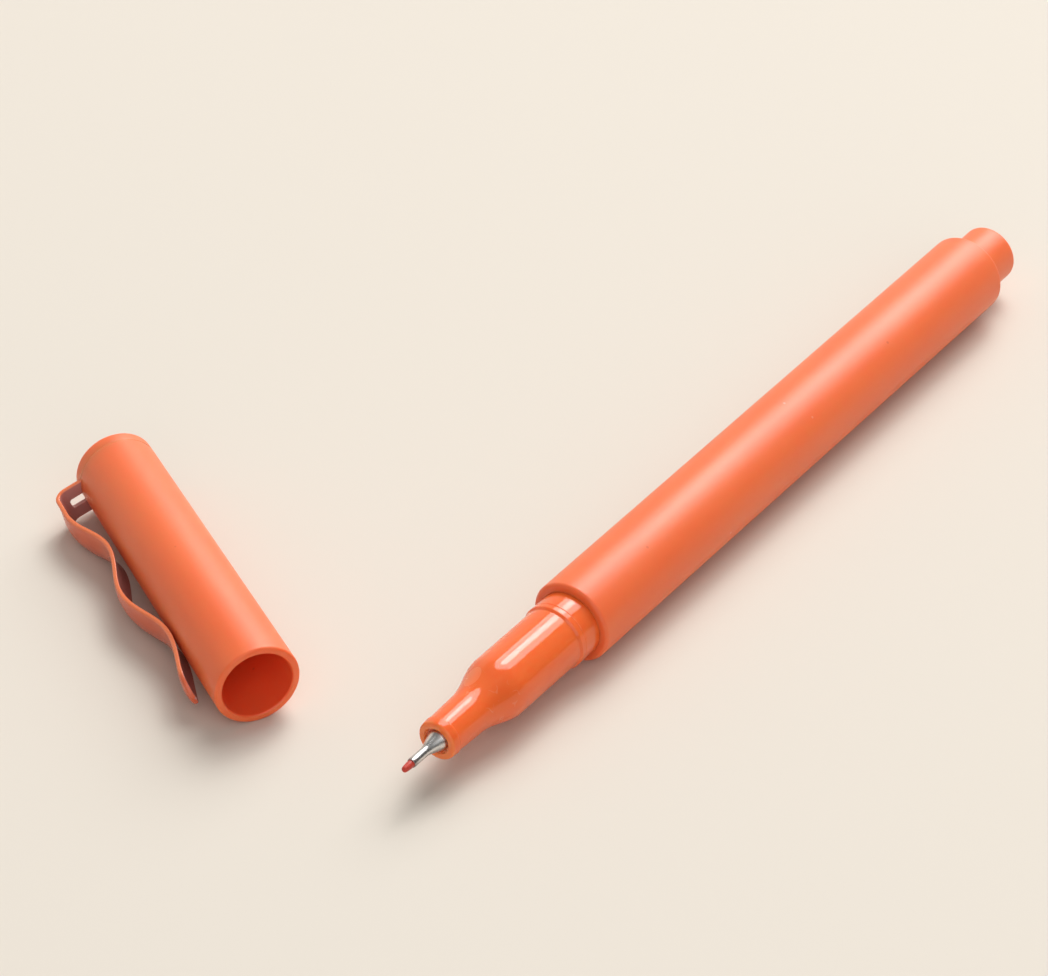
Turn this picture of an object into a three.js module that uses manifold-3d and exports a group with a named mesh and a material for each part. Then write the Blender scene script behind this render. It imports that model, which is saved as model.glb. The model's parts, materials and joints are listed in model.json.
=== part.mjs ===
// A slim felt tip marker with its cap pulled off and lying beside the nose.
// Millimetres, +Z up. The cap's axis lies along +Y, from its mouth to its top, and the pen lies
// turned from it. The origin is the middle of the footprint, on the surface that both lie on.
import * as THREE from 'three';
import { mergeVertices } from 'three/addons/utils/BufferGeometryUtils.js';
import Module from 'manifold-3d';

const wasm = await Module();
wasm.setup();

// ---- driving dimensions ------------------------------------------------------------------
// Fits
const pressGap = 0.1;            // radial room of a piece pushed into another
const looseGap = 0.3;            // room round a piece that only sits in its place
const needleGap = 0.08;          // room round the nib in its steel sleeve
const snapGap = 0.05;            // room between the snap bead and the cap's bore

// Barrel: lengths run from its front rim towards the tail
const barrelRadius = 4.7;
const barrelWall = 0.85;
const barrelLength = 79.2;
const barrelFrontRounding = 0.5;
const barrelRearRounding = 0.75;
const rimInnerRounding = 0.15;

// Tail plug
const tailStubStep = 0.36;       // how much slimmer the stub is than the sleeve
const tailStubLength = 5.2;
const tailStubRounding = 0.5;
const tailSleeveLength = 8;
const tailSleeveWall = 0.85;
const tailFloor = 1.2;

// Grip section: lengths run from the barrel's rim towards the nib
const sectionInsertLength = 10;
const sectionWall = 0.85;
const bandLength = 2.45;
const beadWidth = 0.55;
const beadHeight = 0.08;
const grooveWidth = 0.3;
const grooveDepth = 0.1;
const gripStep = 0.17;           // how much slimmer the grip is than the band
const gripLength = 9.3;
const shoulderLength = 6.2;
const noseRadius = 2.22;
const noseFlare = 0.14;          // how much wider the nose is at the shoulder than at its end
const noseLength = 4.5;
const noseRounding = 0.3;
const noseHoleRadius = 1.5;
const noseHoleDepth = 1.5;
const sleeveBoreRadius = 1.0;

// Nib and its steel sleeve
const nibRadius = 0.35;
const nibReach = 1.42;           // felt that stands out of the sleeve
const nibTail = 12;              // how deep the nib's rear end reaches into the reservoir
const sleeveTubeWall = 0.1;
const sleeveTubeLength = 2.46;
const sleeveConeLength = 2.37;
const sleeveConeRadius = 1.24;
const sleeveConeSink = 0.7;      // how far the cone's foot lies inside the nose
const sleeveStemLength = 5;

// Ink reservoir
const filmWall = 0.2;
const filmGap = 0.1;
const reservoirEngagement = 3;   // how far its rear end sits in the tail plug's cup
const wickGap = 0.12;

// Cap: lengths run from its mouth towards its top
const capWall = 0.85;
const capTaper = 0.0059;         // radius lost for each millimetre of length
const capMouthRounding = 0.45;
const capBoreChamfer = 0.15;
const capHeadLength = 6.7;
const capNeckLength = 3.6;
const capNeckStep = 0.57;
const capTopRounding = 0.12;
const innerCapWall = 0.6;
const innerCapFloor = 1;
const innerCapFlange = 2.2;
const nibTipRoom = 2.6;          // space between the nib and the inner cap's floor
const buttonThickness = 1.4;
const buttonRounding = 0.5;
const buttonCrown = 0.2;
const buttonInset = 0.03;
const buttonStemLength = 5.2;
const buttonStemWall = 0.8;
const seam = 0.1;                // gap on each side of the clip's plate

// Clip
const clipThickness = 0.48;
const clipWidth = 4.4;
const clipRingInset = 0.08;
const clipBendRadius = 1.2;      // to the middle of the sheet
const windowWidth = 1.25;
const windowReach = 1.6;         // how far the window runs out past the cap's wall
const clipContactGap = 0.3;      // room between the clip's last dip and the cap's wall
const clipCrown = 0.42;          // how far the blade's middle stands out beyond its edges
const clipCrownRun = 2.5;        // length over which the crown grows below the bend
const clipTipLength = 3;         // length of the rounded end
const clipSplit = 0.3;           // gap across the sheet where the blade flexes
// Turning points of the wave: drop below the plate's middle, rise of the blade's edges over the wall
const crestOne = { drop: 3.69, rise: 2.69 };
const dipOne = { drop: 11.5, rise: 0.65 };
const crestTwo = { drop: 18.93, rise: 2.13 };
const dipTwo = { drop: 27.88, rise: clipContactGap + clipThickness / 2 - clipCrown };
const tip = { drop: 36.3, rise: 1.45 };

// Lie of the two pieces on the table
const rimFromCapMouth = [33.2, -4.33];
const penTurn = 29.22;           // degrees from +X to the pen's nose-to-tail direction
const clipFootGap = 0.05;        // room under the clip's lower edge

// Facets
const coarse = 40;
const fine = 24;

// ---- sizes that follow -------------------------------------------------------------------
const barrelBore = barrelRadius - barrelWall;
const insertRadius = barrelBore - pressGap;
const bandRadius = insertRadius;
const beadRadius = bandRadius + beadHeight;
const gripRadius = bandRadius - gripStep;
const grooveRadius = gripRadius - grooveDepth;
const bandEnd = -bandLength;
const beadEnd = bandEnd - beadWidth;
const grooveEnd = beadEnd - grooveWidth;
const gripEnd = grooveEnd - gripLength;
const shoulderEnd = gripEnd - shoulderLength;
const noseEnd = shoulderEnd - noseLength;
const sectionBore = insertRadius - sectionWall;
const filmRadius = sectionBore - looseGap;
const reservoirRadius = filmRadius - filmWall - filmGap;
const sectionSeat = gripEnd + 2;
const reservoirFront = sectionSeat + looseGap;
const tubeBore = nibRadius + needleGap;
const tubeRadius = tubeBore + sleeveTubeWall;
const coneFoot = noseEnd + sleeveConeSink;
const coneEnd = coneFoot - sleeveConeLength;
const tubeEnd = coneEnd - sleeveTubeLength;
const nibTip = tubeEnd - nibReach;
const nibRear = reservoirFront + nibTail;
const stubRadius = insertRadius - tailStubStep;
const plugShoulder = barrelLength - pressGap;
const sleeveFront = plugShoulder - tailSleeveLength;
const reservoirRear = sleeveFront + reservoirEngagement;

const capBore = beadRadius + snapGap;
const capMouthRadius = capBore + capWall;
const innerCapBore = noseRadius + noseFlare + pressGap;
const innerCapMouth = -shoulderEnd + pressGap;
const innerCapInside = -nibTip + nibTipRoom;
const innerCapEnd = innerCapInside + innerCapFloor;
const capTubeLength = innerCapEnd + capHeadLength;
const capWallAt = (y) => capMouthRadius - capTaper * y;
const capTopRadius = capWallAt(capTubeLength);
const capNeckBore = capBore - capNeckStep;
const plateFront = capTubeLength + seam;
const plateMiddle = plateFront + clipThickness / 2;
const plateBack = plateFront + clipThickness;
const buttonFront = plateBack + seam;
const stemRadius = capNeckBore - pressGap;
const ringBore = stemRadius + pressGap;
const bendStart = capTopRadius + crestOne.rise - clipBendRadius;
const bladeTop = plateMiddle - clipBendRadius;

// ---- helpers -----------------------------------------------------------------------------
/** Points of an arc, angles in degrees, both ends included. */
function arc(radiusAt, alongAt, size, from, to, steps) {
  return Array.from({ length: steps + 1 }, (_, i) => {
    const angle = THREE.MathUtils.degToRad(from + ((to - from) * i) / steps);
    return [radiusAt + size * Math.cos(angle), alongAt + size * Math.sin(angle)];
  });
}

/** A body turned about Y from [radius, along] points, with a flat facet underneath. */
function turned(profile, facets, closeOnItself) {
  const points = profile.map(([radius, along]) => new THREE.Vector2(radius, along));
  if (closeOnItself) points.push(points[0].clone());
  return new THREE.LatheGeometry(points, facets, Math.PI / facets);
}

/** Smooth step from 0 to 1, flat at both ends. */
function ease(share) {
  return 0.5 - 0.5 * Math.cos(Math.PI * share);
}

function toSolid(geometry) {
  const bare = geometry.clone();
  bare.deleteAttribute('normal');
  bare.deleteAttribute('uv');
  const merged = mergeVertices(bare, 1e-5);
  const vertProperties = new Float32Array(merged.attributes.position.array);
  const triVerts = new Uint32Array(merged.index.array);
  return new wasm.Manifold(new wasm.Mesh({ numProp: 3, vertProperties, triVerts }));
}

function toGeometry(solid) {
  const mesh = solid.getMesh();
  const geometry = new THREE.BufferGeometry();
  geometry.setAttribute('position', new THREE.BufferAttribute(mesh.vertProperties, 3));
  geometry.setIndex(new THREE.BufferAttribute(mesh.triVerts, 1));
  geometry.computeVertexNormals();
  return geometry;
}

function material(color, roughness, metalness = 0) {
  return new THREE.MeshStandardMaterial({ color, roughness, metalness });
}

function piece(name, geometry, finish) {
  const mesh = new THREE.Mesh(geometry, finish);
  mesh.name = name;
  return mesh;
}

const shellOrange = material(0xf08050, 0.55);
const gripOrange = material(0xe8652f, 0.15);
const clipPaint = material(0xd9704c, 0.4);
const linerOrange = material(0xdc5a2c, 0.5);
const steel = material(0xcfcac4, 0.25, 1);
const nibFelt = material(0xd0442e, 0.7);
const inkFibre = material(0xc8432a, 0.95);
const clearFilm = material(0xefe6da, 0.2);

// ---- the pen, nose to tail along +Y, rim at 0 ----------------------------------------------
function barrel() {
  const profile = [
    ...arc(barrelBore + rimInnerRounding, rimInnerRounding, rimInnerRounding, 180, 270, 2),
    ...arc(barrelRadius - barrelFrontRounding, barrelFrontRounding, barrelFrontRounding, 270, 360, 4),
    ...arc(barrelRadius - barrelRearRounding, barrelLength - barrelRearRounding,
      barrelRearRounding, 0, 90, 5),
    [barrelBore, barrelLength],
  ];
  return turned(profile, coarse, true);
}

function tailPlug() {
  const end = barrelLength + tailStubLength;
  const cupRadius = insertRadius - tailSleeveWall;
  const profile = [
    [0, plugShoulder - tailFloor],
    [cupRadius, plugShoulder - tailFloor],
    [cupRadius, sleeveFront],
    [insertRadius, sleeveFront],
    [insertRadius, plugShoulder],
    [stubRadius, plugShoulder],
    ...arc(stubRadius - tailStubRounding, end - tailStubRounding, tailStubRounding, 0, 90, 4),
    [0, end],
  ];
  return turned(profile, coarse, false);
}

/** S-shaped fall of the grip into the nose, from the nose side. */
function shoulder() {
  const steps = 8;
  const low = noseRadius + noseFlare;
  return Array.from({ length: steps - 1 }, (_, i) => {
    const share = (i + 1) / steps;
    const rise = ease(share ** 1.25);
    return [low + (gripRadius - low) * rise, shoulderEnd + share * shoulderLength];
  });
}

function gripSection() {
  const profile = [
    [noseHoleRadius, noseEnd],
    ...arc(noseRadius - noseRounding, noseEnd + noseRounding, noseRounding, 270, 360, 3),
    [noseRadius + noseFlare, shoulderEnd],
    ...shoulder(),
    [gripRadius, gripEnd],
    [gripRadius, grooveEnd],
    [grooveRadius, grooveEnd + grooveWidth / 2],
    [bandRadius, beadEnd],
    [beadRadius, beadEnd + beadWidth / 2],
    [bandRadius, bandEnd],
    [insertRadius, sectionInsertLength],
    [sectionBore, sectionInsertLength],
    [sectionBore, sectionSeat],
    [sectionBore - sectionWall, sectionSeat],
    [sleeveBoreRadius, shoulderEnd],
    [sleeveBoreRadius, noseEnd + noseHoleDepth],
    [noseHoleRadius, noseEnd + noseHoleDepth],
  ];
  return turned(profile, coarse, true);
}

function nibSleeve() {
  const stemRadiusOut = sleeveBoreRadius - pressGap;
  const stemEnd = noseEnd + noseHoleDepth + sleeveStemLength;
  const profile = [
    [tubeBore, tubeEnd],
    [tubeRadius - 0.03, tubeEnd],
    [tubeRadius, tubeEnd + 0.15],
    [tubeRadius, coneEnd - 0.25],
    [tubeRadius + 0.07, coneEnd],
    [sleeveConeRadius, coneFoot],
    [sleeveConeRadius, noseEnd + noseHoleDepth - pressGap],
    [stemRadiusOut, noseEnd + noseHoleDepth - pressGap],
    [stemRadiusOut, stemEnd],
    [tubeBore, stemEnd],
  ];
  return turned(profile, fine, true);
}

function nib() {
  const profile = [
    [0, nibTip],
    ...arc(0, nibTip + nibRadius, nibRadius, -60, 0, 3),
    [nibRadius, nibRear],
    [0, nibRear],
  ];
  return turned(profile, 16, false);
}

function inkReservoir() {
  const wickBore = nibRadius + wickGap;
  const profile = [
    [0, nibRear + looseGap],
    [wickBore, nibRear + looseGap],
    [wickBore, reservoirFront],
    [reservoirRadius, reservoirFront],
    [reservoirRadius, reservoirRear],
    [0, reservoirRear],
  ];
  return turned(profile, fine, false);
}

function reservoirFilm() {
  const profile = [
    [filmRadius - filmWall, reservoirFront],
    [filmRadius, reservoirFront],
    [filmRadius, reservoirRear],
    [filmRadius - filmWall, reservoirRear],
  ];
  return turned(profile, fine, true);
}

// ---- the cap, mouth to top along +Y, mouth at 0 --------------------------------------------
function capTube() {
  const neckStart = capTubeLength - capNeckLength;
  const profile = [
    [capBore + capBoreChamfer, 0],
    ...arc(capMouthRadius - capMouthRounding, capMouthRounding, capMouthRounding, 270, 360, 4),
    [capTopRadius, capTubeLength - capTopRounding],
    [capTopRadius - capTopRounding, capTubeLength],
    [capNeckBore, capTubeLength],
    [capNeckBore, neckStart],
    [capBore, neckStart],
    [capBore, capBoreChamfer],
  ];
  return turned(profile, coarse, true);
}

function innerCap() {
  const flange = capBore - pressGap;
  const outside = innerCapBore + innerCapWall;
  const profile = [
    [0, innerCapInside],
    [innerCapBore, innerCapInside],
    [innerCapBore, innerCapMouth],
    [outside, innerCapMouth],
    [outside, innerCapEnd - innerCapFlange],
    [flange, innerCapEnd - innerCapFlange],
    [flange, innerCapEnd],
    [0, innerCapEnd],
  ];
  return turned(profile, fine, false);
}

function capButton() {
  const rim = capTopRadius - buttonInset;
  const back = buttonFront + buttonThickness - buttonCrown;
  const stemEnd = buttonFront - buttonStemLength;
  const cup = stemRadius - buttonStemWall;
  const profile = [
    [0, buttonFront],
    [cup, buttonFront],
    [cup, stemEnd],
    [stemRadius, stemEnd],
    [stemRadius, buttonFront],
    [rim - 0.05, buttonFront],
    ...arc(rim - buttonRounding, back - buttonRounding, buttonRounding, 0, 90, 4),
    [rim * 0.5, buttonFront + buttonThickness],
    [0, buttonFront + buttonThickness],
  ];
  return turned(profile, coarse, false);
}

// ---- the clip: radial along +X, cap's axis along +Y, width along Z ---------------------------
const halfWidth = clipWidth / 2;

/** Ring under the button with the arm that reaches out over the cap's wall, without its window. */
function clipPlate() {
  const ringRadius = capTopRadius - clipRingInset;
  const corner = Math.asin(halfWidth / ringRadius);
  const outline = new THREE.Shape();
  outline.absarc(0, 0, ringRadius, corner, 2 * Math.PI - corner, false);
  outline.lineTo(bendStart, -halfWidth);
  outline.lineTo(bendStart, halfWidth);
  outline.closePath();
  const hole = new THREE.Path();
  hole.absarc(0, 0, ringBore, 0, 2 * Math.PI, true);
  outline.holes.push(hole);
  const plate = new THREE.ExtrudeGeometry(outline,
    { depth: clipThickness, bevelEnabled: false, curveSegments: 24 });
  plate.rotateX(Math.PI / 2);
  plate.translate(0, plateBack, 0);
  return plate;
}

/** Middle line of the wavy blade as [radial, along], from its top end to its tip. */
function waveLine() {
  const turns = [crestOne, dipOne, crestTwo, dipTwo, tip];
  const steps = 8;
  const levels = turns.map(({ drop, rise }) => capWallAt(plateMiddle - drop) + rise);
  levels[0] = capTopRadius + crestOne.rise;
  const crestAlong = plateMiddle - crestOne.drop;
  const bladeStart = bladeTop - clipSplit;
  const line = [0, 0.25, 0.5, 0.75, 1].map(
    (share) => [levels[0], THREE.MathUtils.lerp(bladeStart, crestAlong, share)]);
  for (let k = 1; k < turns.length; k += 1) {
    for (let i = 1; i <= steps; i += 1) {
      const drop = THREE.MathUtils.lerp(turns[k - 1].drop, turns[k].drop, i / steps);
      line.push([THREE.MathUtils.lerp(levels[k - 1], levels[k], ease(i / steps)), plateMiddle - drop]);
    }
  }
  return line;
}

/** A sheet of the clip's thickness along a middle line, clipWidth wide, cut across into strips. */
function sheetAlong(line, strips) {
  const normals = line.map((_, i) => {
    const before = line[Math.max(i - 1, 0)];
    const after = line[Math.min(i + 1, line.length - 1)];
    const run = Math.hypot(after[0] - before[0], after[1] - before[1]);
    return [(before[1] - after[1]) / run, (after[0] - before[0]) / run];
  });
  const shifted = (side) => line.map(([x, y], i) => new THREE.Vector2(
    x + (side * normals[i][0] * clipThickness) / 2, y + (side * normals[i][1] * clipThickness) / 2));
  const outline = new THREE.Shape([...shifted(1), ...shifted(-1).reverse()]);
  const sheet = new THREE.ExtrudeGeometry(outline,
    { depth: clipWidth, steps: strips, bevelEnabled: false });
  sheet.translate(0, 0, -halfWidth);
  return sheet;
}

/** Presses the blade's middle outwards, so that its section follows the cap's wall. */
function crown(sheet) {
  const places = sheet.attributes.position;
  for (let i = 0; i < places.count; i += 1) {
    const across = places.getZ(i) / halfWidth;
    const below = THREE.MathUtils.clamp((bladeTop - clipSplit - places.getY(i)) / clipCrownRun, 0, 1);
    places.setX(i, places.getX(i) + clipCrown * ease(below) * (1 - across * across));
  }
  return sheet;
}

function clipMount() {
  const bent = sheetAlong([
    [bendStart - clipBendRadius / 2, plateMiddle],
    ...arc(bendStart, bladeTop, clipBendRadius, 90, 0, 6),
  ], 1);
  const window = new THREE.BoxGeometry(clipBendRadius * 2, clipThickness * 3, windowWidth);
  window.translate(capTopRadius + windowReach - clipBendRadius, plateMiddle, 0);
  const blank = toSolid(clipPlate()).add(toSolid(bent));
  return toGeometry(blank.subtract(toSolid(window)));
}

function clipBlade() {
  const blade = crown(sheetAlong(waveLine(), 6));
  const tipEnd = plateMiddle - tip.drop;
  const outline = new THREE.Shape();
  const tipStart = tipEnd + clipTipLength;
  const spare = clipThickness;
  outline.moveTo(plateBack, -halfWidth - spare);
  outline.lineTo(plateBack, halfWidth + spare);
  outline.lineTo(tipStart, halfWidth + spare);
  outline.lineTo(tipStart, halfWidth);
  outline.absellipse(tipStart, 0, clipTipLength, halfWidth, Math.PI / 2, 1.5 * Math.PI, false);
  outline.lineTo(tipStart, -halfWidth - spare);
  outline.closePath();
  const reach = 2 * (capTopRadius + crestOne.rise);
  const cutter = new THREE.ExtrudeGeometry(outline,
    { depth: reach, bevelEnabled: false, curveSegments: 12 });
  cutter.applyMatrix4(new THREE.Matrix4().makeBasis(
    new THREE.Vector3(0, 1, 0), new THREE.Vector3(0, 0, 1), new THREE.Vector3(1, 0, 0)));
  return toGeometry(toSolid(blade).intersect(toSolid(cutter)));
}

/** Angle below the horizontal at which the clip's lower edge comes down to the table. */
function clipLean() {
  const reach = capTopRadius + crestOne.rise + clipThickness / 2;
  const corner = Math.hypot(reach, halfWidth);
  const seat = axisHeight(capMouthRadius) - clipFootGap;
  return Math.asin(seat / corner) - Math.atan2(halfWidth, reach);
}

/** Height of a turned body's axis when it lies on a flat facet. */
function axisHeight(radius) {
  return radius * Math.cos(Math.PI / coarse);
}

// ---- assembly ------------------------------------------------------------------------------
const pen = new THREE.Group();
pen.add(
  piece('barrel', barrel(), shellOrange),
  piece('tail_plug', tailPlug(), shellOrange),
  piece('grip_section', gripSection(), gripOrange),
  piece('nib_sleeve', nibSleeve(), steel),
  piece('nib', nib(), nibFelt),
  piece('ink_reservoir', inkReservoir(), inkFibre),
  piece('reservoir_film', reservoirFilm(), clearFilm),
);
pen.position.set(rimFromCapMouth[0], rimFromCapMouth[1], axisHeight(barrelRadius));
pen.rotation.z = THREE.MathUtils.degToRad(penTurn - 90);

const clip = new THREE.Group();
clip.add(
  piece('clip_mount', clipMount(), clipPaint),
  piece('clip_blade', clipBlade(), clipPaint),
);
clip.rotation.y = Math.PI - clipLean();

const cap = new THREE.Group();
cap.add(
  piece('cap_tube', capTube(), shellOrange),
  piece('inner_cap', innerCap(), linerOrange),
  piece('cap_button', capButton(), shellOrange),
  clip,
);
cap.position.z = axisHeight(capMouthRadius);

const marker = new THREE.Group();
marker.add(pen, cap);
const footprint = new THREE.Box3().setFromObject(marker, true);
const middle = footprint.getCenter(new THREE.Vector3());
marker.position.set(-middle.x, -middle.y, -footprint.min.z);

export default marker;
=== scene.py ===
"""A slim felt tip marker lying beside its cap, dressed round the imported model."""

import json
import logging
import math
from collections.abc import Mapping, Sequence
from dataclasses import dataclass, field
from enum import Enum

import bmesh
import bpy
from mathutils import Euler, Matrix, Vector


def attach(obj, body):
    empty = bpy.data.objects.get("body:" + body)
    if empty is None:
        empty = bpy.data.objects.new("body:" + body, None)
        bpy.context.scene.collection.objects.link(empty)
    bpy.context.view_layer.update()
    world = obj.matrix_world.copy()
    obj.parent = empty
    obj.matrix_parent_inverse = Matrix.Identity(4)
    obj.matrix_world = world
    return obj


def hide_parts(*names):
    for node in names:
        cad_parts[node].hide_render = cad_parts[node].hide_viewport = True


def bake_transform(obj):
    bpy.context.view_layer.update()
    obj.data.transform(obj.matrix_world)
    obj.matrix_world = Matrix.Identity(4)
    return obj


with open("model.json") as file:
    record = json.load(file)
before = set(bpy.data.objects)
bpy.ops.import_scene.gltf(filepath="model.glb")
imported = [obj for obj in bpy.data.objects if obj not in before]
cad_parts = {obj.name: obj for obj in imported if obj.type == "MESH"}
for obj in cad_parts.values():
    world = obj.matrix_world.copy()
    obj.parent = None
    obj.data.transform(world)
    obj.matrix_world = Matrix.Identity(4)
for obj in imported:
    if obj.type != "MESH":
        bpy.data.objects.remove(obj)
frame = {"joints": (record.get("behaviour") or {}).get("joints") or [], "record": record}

LOG = logging.getLogger("felt_tip_marker")
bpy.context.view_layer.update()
MM = 0.001

# Points nearer to each other than this, in metres, are one.
WELD = 1e-7

Corner = tuple[float, float, float]
Shade = tuple[float, float, float]
Spot = tuple[float, float]

# How far light of each colour travels inside the orange plastic.
GLOW = {
    "Subsurface Weight": 0.85,
    "Subsurface Radius": (1.0, 0.55, 0.35),
    "Subsurface Scale": 0.5 * MM,
}


class Body(Enum):
    """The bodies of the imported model."""

    PEN = "pen"
    CAP = "cap"
    CLIP = "clip"


class Slot(Enum):
    """The record's material slots."""

    SHELL = "shell_plastic"
    GRIP = "grip_plastic"
    LINER = "liner_plastic"
    CLIP = "clip_paint"
    STEEL = "sleeve_steel"
    NIB = "nib_fibre"
    RESERVOIR = "reservoir_fibre"
    FILM = "reservoir_film"


# ---- node graphs ---------------------------------------------------------------------------
class Wire:
    """One output of a node, with Math nodes behind the arithmetic operators."""

    def __init__(self, graph: "Graph", socket: bpy.types.NodeSocket) -> None:
        """Holds an output.

        Args:
            graph: The graph that the output belongs to.
            socket: The output itself.
        """
        self.graph = graph
        self.socket = socket

    def other(self, output: str | int) -> "Wire":
        """Another output of the same node."""
        return Wire(self.graph, self.socket.node.outputs[output])

    def math(self, operation: str, *values: "Wire | float") -> "Wire":
        """Runs a Math node on this value.

        Args:
            operation: The Math node's operation.
            values: Its second and third values.

        Returns:
            The result.
        """
        inputs = dict(enumerate([self, *values]))
        return self.graph.add("ShaderNodeMath", {"operation": operation}, inputs)

    def _before(self, operation: str, value: float) -> "Wire":
        """Runs a Math node with a plain number first and this value second."""
        return self.graph.add("ShaderNodeMath", {"operation": operation}, {0: value, 1: self})

    def __add__(self, value: "Wire | float") -> "Wire":
        """self + value."""
        return self.math("ADD", value)

    def __radd__(self, value: float) -> "Wire":
        """value + self."""
        return self._before("ADD", value)

    def __sub__(self, value: "Wire | float") -> "Wire":
        """self - value."""
        return self.math("SUBTRACT", value)

    def __rsub__(self, value: float) -> "Wire":
        """value - self."""
        return self._before("SUBTRACT", value)

    def __mul__(self, value: "Wire | float") -> "Wire":
        """self * value."""
        return self.math("MULTIPLY", value)

    def __rmul__(self, value: float) -> "Wire":
        """value * self."""
        return self._before("MULTIPLY", value)

    def __truediv__(self, value: "Wire | float") -> "Wire":
        """self / value."""
        return self.math("DIVIDE", value)

    def __rtruediv__(self, value: float) -> "Wire":
        """value / self."""
        return self._before("DIVIDE", value)

    def __pow__(self, value: "Wire | float") -> "Wire":
        """self to the power of value."""
        return self.math("POWER", value)

    def __gt__(self, value: "Wire | float") -> "Wire":
        """1 where self is above value, and 0 elsewhere."""
        return self.math("GREATER_THAN", value)

    def between(self, low: float, high: float) -> "Wire":
        """A smooth step of this value.

        Args:
            low: The value at which the step starts, where the result is 0.
            high: The value at which it ends, where the result is 1. It may be the lower one.

        Returns:
            The step, from 0 to 1.
        """
        return self.graph.add(
            "ShaderNodeMapRange",
            {"interpolation_type": "SMOOTHSTEP"},
            {"Value": self, "From Min": low, "From Max": high},
        )


class Graph:
    """A node tree that is filled through one method."""

    def __init__(self, tree: bpy.types.NodeTree) -> None:
        """Holds the tree that the nodes go into."""
        self.tree = tree

    def add(
        self,
        kind: str,
        settings: Mapping[str, object] | None = None,
        inputs: Mapping[str | int, object] | None = None,
        output: str | int = 0,
    ) -> Wire:
        """Places one node.

        Args:
            kind: The node's type.
            settings: What is set on the node before its sockets, such as a Math node's
                operation.
            inputs: The value or the wire of each named or numbered input.
            output: The output that is returned.

        Returns:
            The chosen output, or a wire on the first input of a node with no output.
        """
        node = self.tree.nodes.new(kind)
        for name, value in (settings or {}).items():
            setattr(node, name, value)
        for name, value in (inputs or {}).items():
            socket = node.inputs[name]
            if isinstance(value, Wire):
                self.tree.links.new(value.socket, socket)
            else:
                socket.default_value = value
        return Wire(self, node.outputs[output] if len(node.outputs) else node.inputs[0])

    def blend(self, share: Wire, first: "Wire | Shade", second: Shade) -> Wire:
        """Mixes two colours.

        Args:
            share: How much of the second colour shows, from 0 to 1.
            first: The colour that shows elsewhere.
            second: The colour that is laid over it.

        Returns:
            The mixed colour.
        """
        under = first if isinstance(first, Wire) else (*first, 1)
        inputs = {0: share, 6: under, 7: (*second, 1)}
        return self.add("ShaderNodeMix", {"data_type": "RGBA"}, inputs, 2)

    def vector(self, x: object = 0.0, y: object = 0.0, z: object = 0.0) -> Wire:
        """A vector from its three parts."""
        return self.add("ShaderNodeCombineXYZ", {}, {0: x, 1: y, 2: z})


def cleared(owner: bpy.types.Material | bpy.types.World) -> Graph:
    """Empties the nodes of a material or a world and returns them as a graph.

    Args:
        owner: The material or the world.

    Returns:
        Its empty graph.
    """
    owner.use_nodes = True
    owner.node_tree.nodes.clear()
    return Graph(owner.node_tree)


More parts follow.
